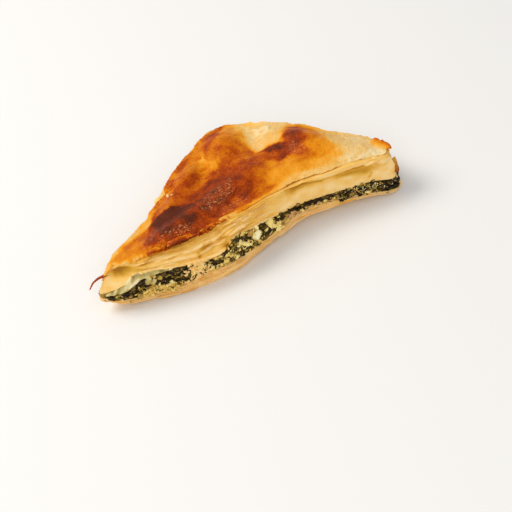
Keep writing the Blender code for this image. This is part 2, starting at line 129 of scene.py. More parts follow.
# Crackled places, whose pale flecks are partly painted glints of the glaze, and places where thin pale leaves
# lie crumpled on the crust: x, y, direction of the long way in degrees, half length, half width and how
# strong
CRACKLES_AND_GLINTS = (
    (-11, 18, 30, 11, 6, 1), (-1, 25, 60, 8, 2.5, 0.9), (-3, 9, 15, 10, 3, 0.9), (-36, 5, 3, 14, 2.5, 0.7),
    (-50, 11, 40, 7, 4, 0.6), (43, 33, -40, 6, 4, 0.9), (44, 42, 60, 6, 4, 0.5), (-24, 50, 45, 6, 3, 0.5),
)
CRUMPLES = (
    (76, 8, -3, 11, 5, 0.7), (62, 10, 5, 8, 3, 0.5), (72, 30, -60, 10, 5, 0.35), (31, 66, 80, 12, 7, 0.9),
    (40, 60, -45, 9, 5, 0.6), (-6, 56, 80, 14, 2.5, 0.9), (-29, 44, 45, 4, 3, 1), (34, 12, 3, 10, 3, 0.5),
)

# Nicks in the outline of the crust and its leaves: x, y, radius and depth
NICKS = (
    (-47.5, 30, 3, 2.8), (-35, 45, 3.4, 3.2), (-8, 73, 3, 1.6), (66, 45, 4, 1.2),
)

# Hollows between the leaves of the long cut face: x, height, half length, half height and depth
POCKETS = (
    (-73, 21.8, 6.5, 1.6, 2.8), (-24.5, 20.6, 4.5, 0.9, 2), (-57, 23.2, 4.5, 0.4, 0.9),
    (-41, 24.4, 5, 0.4, 0.9), (-15, 22.6, 3.5, 0.5, 1),
)

# Golden and oily places of the long face above the filling: x, height, half length, half height, how much
# more toasted and how much more oily. The rows from x 29 to 73 are painted shade under the overhanging
# leaves and in a thin crease, the rows at the pockets are painted shade in the hollows, and the row at x -60
# darkens the leaves above the onion, partly as painted shade.
FACE_TONES = (
    (-15, 22.6, 4, 1.4, 0.3, 0), (-14.5, 19.2, 2.6, 1.1, 0.5, 0.2), (-73, 22.8, 6.2, 1.4, 0.65, 1.2),
    (-60, 21.6, 9, 0.8, 0.12, 0.9), (-50, 25.4, 26, 1.2, 0.1, 0), (-15, 26.9, 16, 1.4, 0.1, 0),
    (-24.5, 20.9, 4, 0.9, 0.22, 0.3), (0, 22.3, 6, 0.8, 0.22, 0.1), (-30.5, 19.4, 1, 1.2, 0.45, 0.2),
    (34, 25.4, 8, 1.5, 0.54, 1.1), (29, 23.8, 3, 1.6, 0.2, 0.4), (46, 24.2, 5, 0.9, 0.28, 0.5),
    (60, 23.2, 7, 1.5, 0.44, 1), (70, 21.8, 7, 2.4, 0.4, 1), (71.4, 17, 0.9, 1, 0.34, 0.6),
    (72.8, 18.6, 0.8, 1, 0.3, 0.6), (64, 25, 2.4, 0.4, 0.5, 0.3), (85, 19, 3.5, 6, -0.1, -0.3),
)

# The middle line that inner edges of leaves are drawn towards, as short straight stretches
SPINE = (
    ((-66, 4), (-20, 22)), ((-20, 22), (12, 40)), ((12, 40), (13, 62)), ((12, 34), (72, 15)),
)

# How far the crust's edge lies back from the edge of the long face, in millimetres, at places along x
SET_BACK_AT = (-80, -60, -22, -15, 5, 20, 27, 35, 44, 47, 55, 62, 68, 76, 86)
SET_BACK = (0.7, 0.0, 0.0, 1.0, 1.7, 1.5, 1.6, 2.2, 2.6, 1.3, 1.8, 2.6, 3.0, 2.2, 0.8)

# How much paler the filling is along the long face, at places along x
FILLING_SHADE_AT = (-30, -20, 14, 20, 24, 46, 58)
FILLING_SHADE = (0.0, 0.20, 0.20, 0.0, -0.12, -0.12, -0.10)

# How far up the leaves above the filling the upper ones overhang the lower ones, at places along x
OVERHANG_AT = (20, 25, 27, 35, 42, 50, 60, 66, 73, 82)
OVERHANG = (1.05, 1.02, 0.99, 0.96, 0.87, 0.81, 0.82, 0.87, 0.84, 0.86)

# The dark hump: x, y, direction of the long way in degrees, half length and half width
HUMP = (-35, 15, 6, 16, 12)

# The seven lines round a leaf's section: which of its lines in plan, from 0, its back, to 3, its edge, how
# many thicknesses up, how much of its droop and how much more toasted
LEAF_SECTION = (
    (0, -0.5, 0, 0.12), (1, -0.5, 0.3, 0.08), (2, -0.35, 1, 0.02), (3, 0, 1, 0.03),
    (2, 0.35, 1, 0.02), (1, 0.5, 0.3, 0.08), (0, 0.5, 0, 0.12),
)

# How many columns the rim has, how many and which of them the slow sums use, how many rows each core's
# wall has and how fine the sheets are
COLUMNS = 1300
COARSE_COLUMNS = 160
THINNED = slice(0, COLUMNS, COLUMNS // COARSE_COLUMNS)
UPPER_ROWS = 52
FILLING_ROWS = 25
LOWER_ROWS = 18
CRUST_SPACING = 0.48 * MM
CORE_SPACING = 3.0 * MM

# The crust's sheet: how thick its edge is, in millimetres, how far its underside tucks in and down there,
# and how far down it lies further in
EDGE_THICKNESS = 0.40
TUCK_REACH = 3.0 * MM
TUCK_DROP = 1.3 * MM
UNDER_DROP = 2.2 * MM

# The leaves: how far they run in, how far they sink where they baked together, and how far in from a
# leaf's edge its middle line and the lines near its edge lie, in millimetres
LEAF_REACH = 5.0 * MM
LEAF_SINK = 2.2 * MM
LEAF_INSETS = (1.2, 0.2, 0)

# The cores: how far in from the wall their caps start, further in for the one under the crust, how far
# that one lies down, and how many grooves the wall of the upper leaves has
CAP_REACH = 1.5 * MM
TOP_CAP_REACH = 3.4 * MM
TOP_CAP_DROP = 4.0 * MM
GROOVES = 11

# Spinach, in millimetres: the least and greatest length and width of its large bits and of its small ones,
# and how thick and how crumpled they are
LARGE_LENGTHS = (1.8, 5.0)
LARGE_WIDTHS = (1.2, 3.0)
LARGE_CRUMPLES = (0.12, 0.34)
LARGE_THICKNESS = 0.28
SMALL_SIZES = ((0.8, 0.5), (2.2, 1.0))
SMALL_CRUMPLE = 0.12
SMALL_THICKNESS = 0.2

# Onion, in millimetres: how thick the band is and half of how thick the single pieces are
BAND_THICKNESS = 1.2
ONION_THICKNESS = 1.3

# How many points the sums over the rim take at a time
BLOCK = 6000

# Stretches along x: where each begins, where it is full, where it starts to fade and where it ends
SOFT_STRETCH = (16, 22, 48, 56)
MOIST_STRETCH = (6, 18, 50, 70)
HANGING_STRETCH = (-72, -58, -34, -10)
TIP_STRETCH = (-84, -78, -58, -46)

# How far the crust's edge hangs down along its stretch, and where that ends in y
HANGING = 2.0 * MM
HANGING_END = (8, 14)

# Where bits lie along x: chips, the small crumbs at the right and the least x of onion at the sides, then
# the middle and the spread of the yellow crumbs, with their heights, and of the pinched ones
CHIPS_BETWEEN = (-50, -8)
RIGHT_CRUMBS_BETWEEN = (56, 85)
SIDE_ONIONS_FROM = -74
YELLOW_CRUMBS_AT = (-55, 7)
YELLOW_CRUMB_HEIGHTS = (4.5, 9.5)
PINCHED_CRUMBS_AT = (-33.5, 3)

# The onion band's points along and across it, and the shred's points along it, how often they are smoothed,
# and its half width and thickness at either end in millimetres
BAND_POINTS = (150, 13)
SHRED_STEPS = 60
SHRED_SMOOTHING = 14
SHRED_HALF_WIDTHS = (1.1, 0.35)
SHRED_THICKNESSES = (0.42, 0.22)

# How far in from the rim the puffs start and the underside lifts
PUFF_REACH = 6.0 * MM
LIFT_REACH = 13.0 * MM

# How many blisters, bits and crumbs there are, and the first of the seeds that place them
BLISTERS = 110
LARGE_SPINACH = 1450
SMALL_SPINACH = 260
CHEESE_CRUMBS = 1500
RIGHT_CRUMBS = 60
YELLOW_CRUMBS = 150
PINCHED_CRUMBS = 130
SIDE_ONIONS = 9
CHIPS = 50
SEED = 11

# Directions of the pale leaves' wrinkles and of the scuffed flecks, partly painted glints, in degrees
WRINKLE_HEADING = 62
FLECK_HEADING = -35

# The leaves of the upper pastry, from the filling up, and of the lower pastry: share of the way up, how far
# the edge stands out, thickness and raggedness in millimetres, how toasted and how oily it is
UPPER_LEAVES = (
    (0.06, 0.7, 1.1, 0.5, 0.02, 0.1), (0.2, 0.2, 1.5, 0.8, 0.06, 0.05), (0.35, 0.6, 1.5, 0.7, 0.02, 0),
    (0.48, 0.1, 0.8, 0.9, 0.12, 0), (0.6, 0.5, 1.4, 0.8, 0.02, 0), (0.71, 0.2, 0.7, 1, 0.1, 0),
)
TOASTED_LEAVES = (
    (0.78, 0.5, 0.6, 1, 0.04, 0), (0.85, 0.4, 0.55, 1, 0.16, 0), (0.91, 0.8, 0.5, 1, 0.14, 0),
    (0.965, 1.1, 0.5, 1, 0.3, 0),
)
LOWER_LEAVES = (
    (0.1, -0.2, 0.45, 0.7, 0.12, 0), (0.26, 0.6, 0.55, 0.9, 0, 0.05), (0.42, -0.1, 0.4, 1, 0.14, 0.05),
    (0.58, 0.7, 0.55, 1, 0, 0.1), (0.75, 0, 0.4, 1, 0.1, 0.15), (0.91, 0.5, 0.6, 0.9, 0, 0.2),
)

# How much dark spinach the long face shows: x, height, tilt in degrees, half length, half height, and from
# 0, pale crumbs, to 1, leaves only
FILLING_TONES = (
    (-78, 9.8, 0, 7, 1.2, 0.95), (-74.5, 7.4, -6, 6, 0.7, 0.05), (-71, 9.4, 60, 1.5, 1, 0.35),
    (-78, 13, 25, 7, 1.6, 0.2), (-80, 14.8, 28, 6, 1.2, 0), (-66, 11, 60, 5, 3, 1),
    (-64, 7, 0, 4, 1.4, 0.85), (-66, 18, 15, 8, 1.8, 0.15), (-58.5, 12.5, 60, 3, 1.8, 0.1),
    (-47, 14.5, 5, 8, 3, 1), (-54, 16.2, 10, 6, 0.9, 0.95), (-42, 11.5, 0, 4, 3, 0.95),
    (-54, 10.8, 25, 4, 1, 0.55), (-54, 7.5, 0, 8, 1.4, 0.08), (-49, 8.6, 0, 4, 1.6, 0.12),
    (-50, 19.6, -3, 8, 0.9, 0.2), (-33, 12.5, 0, 3, 4, 0.15), (-33, 11, 0, 1.5, 1, 0.3),
    (-26, 13.6, 0, 4, 1.2, 0.95), (-25, 16, 0, 5, 0.6, 0.1), (-22, 10.6, 0, 6, 1.5, 0.05),
    (-16.5, 13.4, -60, 4, 1, 0.75), (-14.5, 10, -50, 3, 0.8, 0.7), (-18, 10.5, 0, 3, 1.4, 0.1),
    (-11.5, 16.5, -60, 5, 1.2, 0.9), (-10, 13, 0, 1.5, 2, 0.1), (-7, 19.5, -50, 3, 1, 0.9),
    (-5.5, 14.5, 70, 3.5, 1.6, 0), (-3, 10.4, 0, 4, 1, 0.75), (-8.5, 11.6, -50, 3, 0.9, 0.9),
    (-1.8, 16, -60, 2, 0.7, 0.9), (-20.5, 12, -50, 2, 0.7, 0.85), (-8, 9, 0, 4, 1, 0.2),
    (2, 14, 90, 3.5, 1.6, 0), (0, 18.4, -10, 3, 1.2, 0.1), (5.8, 12, 90, 3, 1, 0.9),
    (10.2, 11.4, -50, 2.4, 0.8, 0.85), (7.5, 16.6, -30, 3.5, 1.2, 0.9), (12.5, 14, -30, 3, 2, 0.15),
    (6, 8.5, 0, 6, 1.4, 0.25), (17, 14, -30, 3, 1.2, 0.7), (24, 14.2, -10, 4, 1.3, 0.95),
    (34, 13.6, -5, 7, 1.5, 1), (43, 12.9, -5, 4.5, 1.5, 0.95), (24, 10.4, 0, 6, 2, 0.05),
    (36, 10.4, 0, 7, 1.4, 0), (47, 9.8, -5, 7, 1.2, 0.05), (52, 10.6, -5, 4, 1.4, 0.3),
    (62, 10.4, 0, 7, 2.4, 0.66), (76, 8.8, -10, 9, 2.6, 0.7), (69, 6.8, 0, 3, 0.8, 0.2),
    (84, 6.6, 0, 4, 2.4, 0.86),
)

# Large pieces of cheese in the long face: x, height, size in millimetres and tone
CHEESE_PIECES = (
    (2.2, 13.8, 2.6, 0.92), (0.4, 15.8, 1.9, 0.8), (-5.2, 14.4, 2.3, 0.75), (-2, 12, 1.6, 0.6),
    (-8.6, 16.2, 1.5, 0.55), (-0.5, 17.8, 1.8, 0), (11.8, 14.4, 2.2, 0.7), (9, 12.2, 1.6, 0.6),
    (14.6, 11.6, 1.5, 0.5), (-17.5, 11, 1.6, 0.45), (-12, 10.6, 1.5, 0.5), (3.8, 9.8, 1.4, 0.5),
    (-9.6, 12.6, 1.5, 0.65), (-21, 10.6, 1.3, 0.55), (-55, 8.4, 1.4, 0.5), (-50.5, 7.8, 1.2, 0.4),
    (-44, 15.4, 0.7, 1), (-41, 13.6, 0.6, 0.9), (-63.5, 6.6, 0.9, 0.6),
)

# The band of onion at the left of the long face: x and the heights of its lower and upper edge
ONION_BAND = (
    (-83.5, 11, 12), (-80, 10.4, 14), (-76, 10.8, 16), (-72, 11.5, 18), (-68, 13.4, 19.7),
    (-64, 15.9, 20.8), (-58, 16.8, 20.9), (-52, 17.5, 20.6), (-48, 18.3, 19.9), (-46, 18.9, 19.3),
)

# Single pieces of onion under it: x, height, tilt in degrees, half length, half height, and from 0, dull
# green, to 1, white
ONION_PIECES = (
    (-60.2, 14, 62, 3.2, 2, 0.46), (-57.6, 12.8, 55, 2.8, 1.5, 0.36),
)

# Loose flakes that stand out of the crust or the sides: middle, size along, across and thick, heading,
# slope along and slope across in degrees, how far the middle arches up, and how brown or toasted they are
CRUST_FLAKES = (
    ((83.9, 14, 25.6), (13, 5.6, 0.6), 111, 2, -14, 0.8, 0.34),
    ((-51.5, 1.2, 27.2), (8, 2.8, 0.4), 4, 3, 8, 0.5, 0.52),
    ((-38, 0, 28.1), (13, 3.6, 0.5), -3, 2, 9, 0.8, 0.66),
    ((-19, 0.2, 28.8), (7, 2.6, 0.4), 8, -3, 6, 0.4, 0.64),
)
PALE_FLAKES = (
    # The first flake's tone is raised to darken it: painted shade.
    ((32.8, 70.2, 24.5), (19, 7, 0.35), -36, -2, 24, 0.5, 0.4),
    ((87.2, 4.6, 16.8), (3.6, 9, 0.5), 14, -4, 74, 0.4, 0.62),
    ((84, 3.2, 18), (5, 12, 0.6), 4, 0, 84, 0.3, 0), ((80.5, 2.6, 24), (8, 4.2, 0.4), 2, -4, 50, 0.5, 0),
    ((74, 3.4, 25.6), (9, 3.4, 0.4), -2, 5, 36, 0.6, 0.04),
    ((-36.5, 43, 24.2), (6, 4, 1.4), 45, 0, -8, 0.6, 0.12),
    ((1.5, 79.8, 22), (10, 5, 0.6), 35, 0, -14, 0.5, 0.3),
    ((72, 39.5, 20.5), (11, 5, 0.6), -48, 4, -10, 0.6, 0.3),
    ((-60, 21, 19), (10, 5, 0.6), 42, -3, -8, 0.5, 0.3),
)

# The shred at the tip, and crumbs at the left side: x, y, height, size and how toasted they are
SHRED_POINTS = (
    (-78, 4, 22), (-83.5, 5, 21), (-87, 5, 19.5), (-90, 3.7, 17),
)
LOOSE_CRUMBS = (
    (-37.5, 42.5, 24, 1.6, 0.25), (-39, 40.5, 23, 1.2, 0.3), (-34, 44, 25, 1.2, 0.1),
    (-31.5, 40, 27.5, 1.1, 0), (-29.5, 38.5, 28, 0.9, 0.05),
)

# Colours of each material from its lowest tone to its highest: tone and screen colour from 0 to 255
CRUST_COLOURS = (
    (0.00, 240, 212, 156), (0.06, 236, 196, 126), (0.14, 234, 180, 90), (0.25, 238, 160, 42),
    (0.38, 224, 134, 8), (0.50, 204, 106, 4), (0.62, 182, 78, 3), (0.74, 158, 56, 3),
    (0.85, 136, 48, 8), (0.93, 112, 44, 16), (1.00, 90, 38, 20),
)
LEAF_COLOURS = (
    (0.00, 250, 212, 144), (0.20, 243, 192, 98), (0.40, 226, 166, 58),
    (0.60, 196, 132, 28), (0.80, 162, 86, 10), (1.00, 130, 54, 6),
)
FILLING_COLOURS = (
    (0.00, 34, 25, 9), (0.35, 66, 50, 18), (0.60, 118, 88, 36), (0.75, 158, 120, 54), (1.00, 214, 164, 112),
)
SPINACH_COLOURS = (
    (0.00, 36, 25, 10), (0.40, 66, 48, 18), (0.70, 112, 86, 33), (0.90, 162, 132, 52), (1.00, 198, 166, 76),
)
CHEESE_COLOURS = (
    (0.00, 190, 142, 56), (0.30, 230, 188, 90), (0.60, 246, 214, 118), (0.85, 253, 232, 152),
    (1.00, 254, 246, 216),
)
ONION_COLOURS = (
    (0.00, 142, 120, 48), (0.35, 190, 168, 92), (0.65, 226, 206, 140), (1.00, 252, 242, 206),
)
# Pale crackle flecks, partly painted glints of the glaze
FLECK_AND_GLINT_COLOUR = (232, 158, 100)
# The oily stain of the pastry, also used as painted shade under overhangs and in hollows
OIL_AND_SHADE_COLOUR = (196, 148, 36)

# The studio: the floor's half width in metres, its screen colour, the sky's colour and strength, and the
# lights: name, place, target, size in metres, power in watts and colour
FLOOR_HALF = 3.0
FLOOR_COLOUR = (240, 237, 233)
SKY_COLOUR = (0.96, 0.98, 1.0, 1.0)
SKY_STRENGTH = 0.55
LIGHTS = (
    ("key", (-0.7, 0.5, 1.1), (0, 0, 0), 0.8, 12.0, (1.0, 0.98, 0.95)),
    ("fill", (-0.2, -1.2, 0.8), (0, 0, 0.02), 1.0, 6.0, (1.0, 0.99, 0.97)),
)

# The camera, fitted to the photograph: where it stands in the tables' plan, its right and its up, and its
# focal length in pixels of a picture 512 wide
CAMERA_PLACE = (-93.2, -578.5, 509.1)
CAMERA_RIGHT = (0.9181, -0.3346, -0.2123)
CAMERA_UP = (0.3780, 0.5784, 0.7229)
FOCAL_PIXELS = 1441.0
PICTURE_WIDTH = 512.0
SENSOR_WIDTH = 36.0


# The rim, noise and places in the plan

def smooth_loop(knots, values, at):
    """Smooth closed curve through the values at the knots, the last knot closing the loop."""
    length = np.diff(knots)
    slope = (np.roll(values, -1, axis=0) - values) / length[:, None]
    before = np.roll(slope, 1, axis=0)
    length_before = np.roll(length, 1)[:, None]
    tangent = (slope * length_before + before * length[:, None]) / (length_before + length[:, None])
    place = np.searchsorted(knots, at, side="right") - 1
    following = (place + 1) % len(values)
    step = length[place][:, None]
    t = ((at - knots[place]) / length[place])[:, None]
    start = (2 * t**3 - 3 * t**2 + 1) * values[place] + (t**3 - 2 * t**2 + t) * step * tangent[place]
    end = (3 * t**2 - 2 * t**3) * values[following] + (t**3 - t**2) * step * tangent[following]
    return start + end


class Rim:
    """The rim at a number of even columns: where the wall stands and how high its layers are."""

    def __init__(self, count):
        stations = np.array(STATIONS) * MM
        stations[:, :2] -= PIECE_CENTRE
        closed = np.vstack([stations, stations[:1]])
        reach = np.linalg.norm(np.diff(closed[:, :2], axis=0), axis=1)
        knots = np.concatenate([[0.0], np.cumsum(reach)])
        rows = smooth_loop(knots, stations, np.arange(count) / count * knots[-1])
        rows[:, 4] = np.maximum(rows[:, 4], 0.0)
        along = np.roll(rows[:, :2], -1, axis=0) - np.roll(rows[:, :2], 1, axis=0)
        along /= np.linalg.norm(along, axis=1)[:, None]
        self.count = count
        self.foot = rows[:, :2]
        self.lean = rows[:, 2:4]
        self.heights = rows[:, 4:]
        self.along = along
        self.outward = np.stack([along[:, 1], -along[:, 0]], axis=1)
        self.x = (rows[:, 0] + PIECE_CENTRE[0]) / MM
        self.y = (rows[:, 1] + PIECE_CENTRE[1]) / MM
        self.front = smooth_step(-self.outward[:, 1], 0.2, 0.7)
        self.to_spine, self.room = self.find_spine()

    def find_spine(self):
        """Direction and distance from each foot to the nearest place on the spine."""
        nearest = np.full(self.count, np.inf)
        way = np.zeros((self.count, 2))
        for start, end in SPINE:
            a = np.array(start) * MM - PIECE_CENTRE
            b = np.array(end) * MM - PIECE_CENTRE
            t = np.clip(((self.foot - a) @ (b - a)) / ((b - a) @ (b - a)), 0, 1)
            offset = a + t[:, None] * (b - a) - self.foot
            distance = np.linalg.norm(offset, axis=1)
            closer = distance < nearest
            nearest = np.where(closer, distance, nearest)
            way[closer] = offset[closer]
        return way / nearest[:, None], nearest


def smooth_step(value, low, high):
    """0 below low, 1 above high and smooth between."""
    t = np.clip((value - low) / (high - low), 0, 1)
    return t * t * (3 - 2 * t)


def stretch(x, begins, full, fades, ends):
    """1 along a stretch of x, fading to 0 at both of its ends."""
    return smooth_step(x, begins, full) * (1 - smooth_step(x, fades, ends))


def bell(value, reach):
    """1 at 0, fading away to either side over the reach."""
    return np.exp(-((value / reach) ** 2))


def noise(points, size, seed):
    """Smooth lumps between -1 and 1 that measure about size, the same for the same points."""
    scaled = np.asarray(points) / size
    cell = np.floor(scaled).astype(np.int64)
    part = scaled - cell
    ease = part**3 * (part * (part * 6 - 15) + 10)
    primes = np.array([73856093, 19349663, 83492791])[: scaled.shape[1]]
    total = np.zeros(len(scaled))
    for corner in product((0, 1), repeat=scaled.shape[1]):
        key = (((cell + corner) * primes).sum(axis=1) + seed * 668265263) & 0xFFFFFFFF
        key = ((key ^ (key >> 13)) * 1274126177) & 0xFFFFFFFF
        key = ((key ^ (key >> 16)) * 2246822519) & 0xFFFFFFFF
        value = ((key ^ (key >> 15)) & 0xFFFF) / 32767.5 - 1
        total += value * np.prod(np.where(corner, ease, 1 - ease), axis=1)
    return total


def rough(points, size, seed, octaves=3):
    """Noise with ever finer and weaker lumps added to it."""
    total = np.zeros(len(points))
    for octave in range(octaves):
        total += noise(points, size / 2**octave, seed + octave) / 2**octave
    return total / 1.5


def in_blocks(points):
    """The points' places in their array, a block at a time, so that sums over the rim fit in memory."""
    for first in range(0, len(points), BLOCK):
        yield slice(first, first + BLOCK)


def spread(rim, values, points):
    """Mean value interpolation of values on the closed rim to points inside it."""
    result = np.zeros(len(points))
    for block in in_blocks(points):
        arm = rim[None] - points[block, None]
        reach = np.maximum(np.linalg.norm(arm, axis=2), 1e-9)
        next_arm = np.roll(arm, -1, axis=1)
        cross = arm[..., 0] * next_arm[..., 1] - arm[..., 1] * next_arm[..., 0]
        dot = (arm * next_arm).sum(axis=2)
        half = cross / np.maximum(reach * np.roll(reach, -1, axis=1) + dot, 1e-12)
        weight = (half + np.roll(half, 1, axis=1)) / reach
        result[block] = (weight @ values) / weight.sum(axis=1)
    return result


def distance_to(rim, points):
    """Distance from each point to the nearest of the rim's points."""
    result = np.zeros(len(points))
    for block in in_blocks(points):
        result[block] = np.linalg.norm(rim[None] - points[block, None], axis=2).min(axis=1)
    return result


def inside(rim, points):
    """Which points lie inside the closed rim."""
    result = np.zeros(len(points), bool)
    start, end = rim, np.roll(rim, -1, axis=0)
    rise = np.where(np.abs(end[:, 1] - start[:, 1]) < 1e-12, 1e-12, end[:, 1] - start[:, 1])
    for block in in_blocks(points):
        x, y = points[block, :1], points[block, 1:]
        spans = (start[None, :, 1] > y) != (end[None, :, 1] > y)
        crossing = start[None, :, 0] + (y - start[None, :, 1]) / rise * (end - start)[None, :, 0]
        result[block] = (spans & (x < crossing)).sum(axis=1) % 2 == 1
    return result


def in_plan(points):
    """Points of the plan in the tables' own millimetres."""
    return (points + PIECE_CENTRE) / MM


def oval(points, x, y, heading, half_length, half_width):
    """Squared distance from an oval's middle, 1 on the oval itself, in the tables' millimetres."""
    turn = np.radians(heading)
    offset = points - (x, y)
    along = offset @ np.array([np.cos(turn), np.sin(turn)]) / half_length
    across = offset @ np.array([-np.sin(turn), np.cos(turn)]) / half_width
    return along**2 + across**2


def warp(points, size, seed):
    """Noise that moves points both ways, in lumps of one size or of a size for each way."""
    sizes = np.broadcast_to(size, 2)
    return np.stack([noise(points, sizes[way], seed + way) for way in range(2)], axis=1)


def blend(points, table, softness, sharpness):
    """Soft blend of the values of a table's ovals, where the nearest oval counts most."""
    total = np.zeros(len(points))
    weights = np.zeros(len(points))
    for *place, value in table:
        weight = 1 / (softness + oval(points, *place)) ** sharpness
        total += weight * value
        weights += weight
    return total / weights


def front_column(rim, x):
    """The column of the long cut face at an x of the tables."""
    return int(np.argmin(np.abs(rim.x - x) + 100 * (rim.front < 0.5)))


# Meshes

def new_object(name, data):
    """A new object in the scene."""
    item = bpy.data.objects.new(name, data)
    bpy.context.scene.collection.objects.link(item)
    return item


def new_mesh(name, vertices, face_groups, colours=None, angle=60):
    """A smooth shaded object from arrays, with named values at its points."""
    mesh = bpy.data.meshes.new(name)
    sizes = np.concatenate([np.full(len(group), group.shape[1]) for group in face_groups])
    corners = np.concatenate([group.ravel() for group in face_groups]).astype(np.int32)
    mesh.vertices.add(len(vertices))
    mesh.vertices.foreach_set("co", np.asarray(vertices, np.float32).ravel())
    mesh.loops.add(len(corners))
    mesh.loops.foreach_set("vertex_index", corners)
    mesh.polygons.add(len(sizes))
    starts = np.concatenate([[0], np.cumsum(sizes)[:-1]]).astype(np.int32)
    mesh.polygons.foreach_set("loop_start", starts)
    mesh.update(calc_edges=True)
    mesh.validate()
    for key, values in (colours or {}).items():
        layer = mesh.attributes.new(key, "FLOAT", "POINT")
        layer.data.foreach_set("value", np.asarray(values, np.float32))
    mesh.shade_smooth()
    mesh.set_sharp_from_angle(angle=np.radians(angle))
    return new_object(name, mesh)


def make_sheet(ring, spacing):
    """Triangles that fill a ring: the ring's own points first, then an even grid kept clear of it."""
    low, high = ring.min(axis=0), ring.max(axis=0)
    rows = []
    for row, y in enumerate(np.arange(low[1], high[1], spacing * 0.866)):
        xs = np.arange(low[0] + spacing / 2 * (row % 2), high[0], spacing)
        rows.append(np.stack([xs, np.full(len(xs), y)], axis=1))
    grid = np.vstack(rows)
    sparse = ring[::max(1, len(ring) // 400)]
    grid = grid[inside(ring, grid)]
    grid = grid[distance_to(ring if spacing < 1 * MM else sparse, grid) > 0.62 * spacing]
    points = np.vstack([ring, grid])
    result = delaunay_2d_cdt([Vector(p / MM) for p in points], [], [list(range(len(ring)))], 1, 1e-6)
    source = np.array([ids[0] if ids else -1 for ids in result[3]])
    triangles = source[np.array(result[2])]
    return points, triangles[(triangles >= 0).all(axis=1)]


def bridge(count, low, high):
    """Four-sided faces between two rings of points, given where each ring starts."""
    j = np.arange(count)
    k = (j + 1) % count
    return np.stack([low + j, low + k, high + k, high + j], axis=1)


def grid_faces(rows, columns, first=0):
    """Four-sided faces of a grid of rows by columns that closes on itself along each row."""
    starts = first + np.arange(rows) * columns
    return np.vstack([bridge(columns, low, high) for low, high in zip(starts[:-1], starts[1:])])


def closed_grid(top, bottom):
    """Points and faces of a thin closed shape from the grids of its top and bottom."""
    rows, columns = top.shape[:2]
    i, j = np.meshgrid(np.arange(rows - 1), np.arange(columns - 1), indexing="ij")
    a = (i * columns + j).ravel()
    faces = np.stack([a, a + columns, a + columns + 1, a + 1], axis=1)
    half = rows * columns
    border = list(range(columns)) + [row * columns + columns - 1 for row in range(1, rows)]
    border += [(rows - 1) * columns + column for column in range(columns - 2, -1, -1)]
    border += [row * columns for row in range(rows - 2, 0, -1)]
    border = np.array(border)
    after = np.roll(border, -1)
    sides = np.stack([border, after, after + half, border + half], axis=1)
    points = np.vstack([top.reshape(-1, 3), bottom.reshape(-1, 3)])
    return points, np.vstack([faces, faces[:, ::-1] + half, sides])


class Bits:
    """Many small closed shapes gathered into one mesh."""

    def __init__(self, name):
        self.name = name
        self.vertices = []
        self.faces = []
        self.tones = []
        self.total = 0

    def add(self, vertices, faces, tone):
        """Take in one more small shape, with one tone or a tone at each point."""
        self.vertices.append(vertices)
        self.faces.append(faces + self.total)
        self.tones.append(np.broadcast_to(tone, len(vertices)))
        self.total += len(vertices)

    def make(self, angle=50, key="tone"):
        """The finished object."""
        tones = {key: np.concatenate(self.tones)}
        return new_mesh(self.name, np.vstack(self.vertices), [np.vstack(self.faces)], tones, angle)


def unit_ball(level):
    """Points and triangles of a ball of radius one."""
    shape = bmesh.new()
    bmesh.ops.create_icosphere(shape, subdivisions=level, radius=1.0)
    points = np.array([vertex.co for vertex in shape.verts])
    triangles = np.array([[vertex.index for vertex in face.verts] for face in shape.faces])
    shape.free()
    return points, triangles


def crumb(rng, ball, size, roughness):
    """An angular crumb with flattened sides."""
    points, triangles = ball
    shape = points.copy()
    for _ in range(5):
        way = rng.normal(size=3)
        way /= np.linalg.norm(way)
        over = np.maximum(shape @ way - rng.uniform(0.45, 0.8), 0)
        shape -= over[:, None] * way
    shape *= 1 + roughness * noise(points, 0.7, int(rng.integers(1000)))[:, None]
    turn = Matrix.Rotation(rng.uniform(0, 2 * np.pi), 3, Vector(rng.normal(size=3)).normalized())
    return shape * np.array(size) @ np.array(turn), triangles


# The crust

def crust_height(coarse, points):
    """The crust: level with the rim at its edge, with rounded puffs and creases further in."""
    edge = coarse.foot + coarse.lean
    height = spread(edge, coarse.heights[:, CRUST_EDGE], points)
    distance = distance_to(edge, points)
    window = 1 - bell(distance, PUFF_REACH)
    plan = in_plan(points)
    for *place, rise in PUFFS:
        height += window * rise * MM * np.exp(-oval(plan, *place))
    return height, distance


def brownness(points):
    """How brown the crust is at each point: a soft blend of the browned places around it."""
    plan = in_plan(points)
    return blend(plan + 1.6 * warp(plan, 8.0, 31) + 0.7 * warp(plan, 2.6, 33), BROWNING, 0.2, 2.2)


def hump_edge(plan):
    """How much browner the front of the dark hump is than what lies behind its sharp back edge."""
    within = smooth_step(1 - oval(plan + 0.6 * warp(plan, 3.0, 38), *HUMP), -0.05, 0.10)
    back = smooth_step(plan[:, 1], 14.0, 22.0)
    near = np.exp(-np.maximum(oval(plan, *HUMP) - 1, 0) / 0.5)
    return back * near * (0.12 * within - 0.10 * (1 - within))


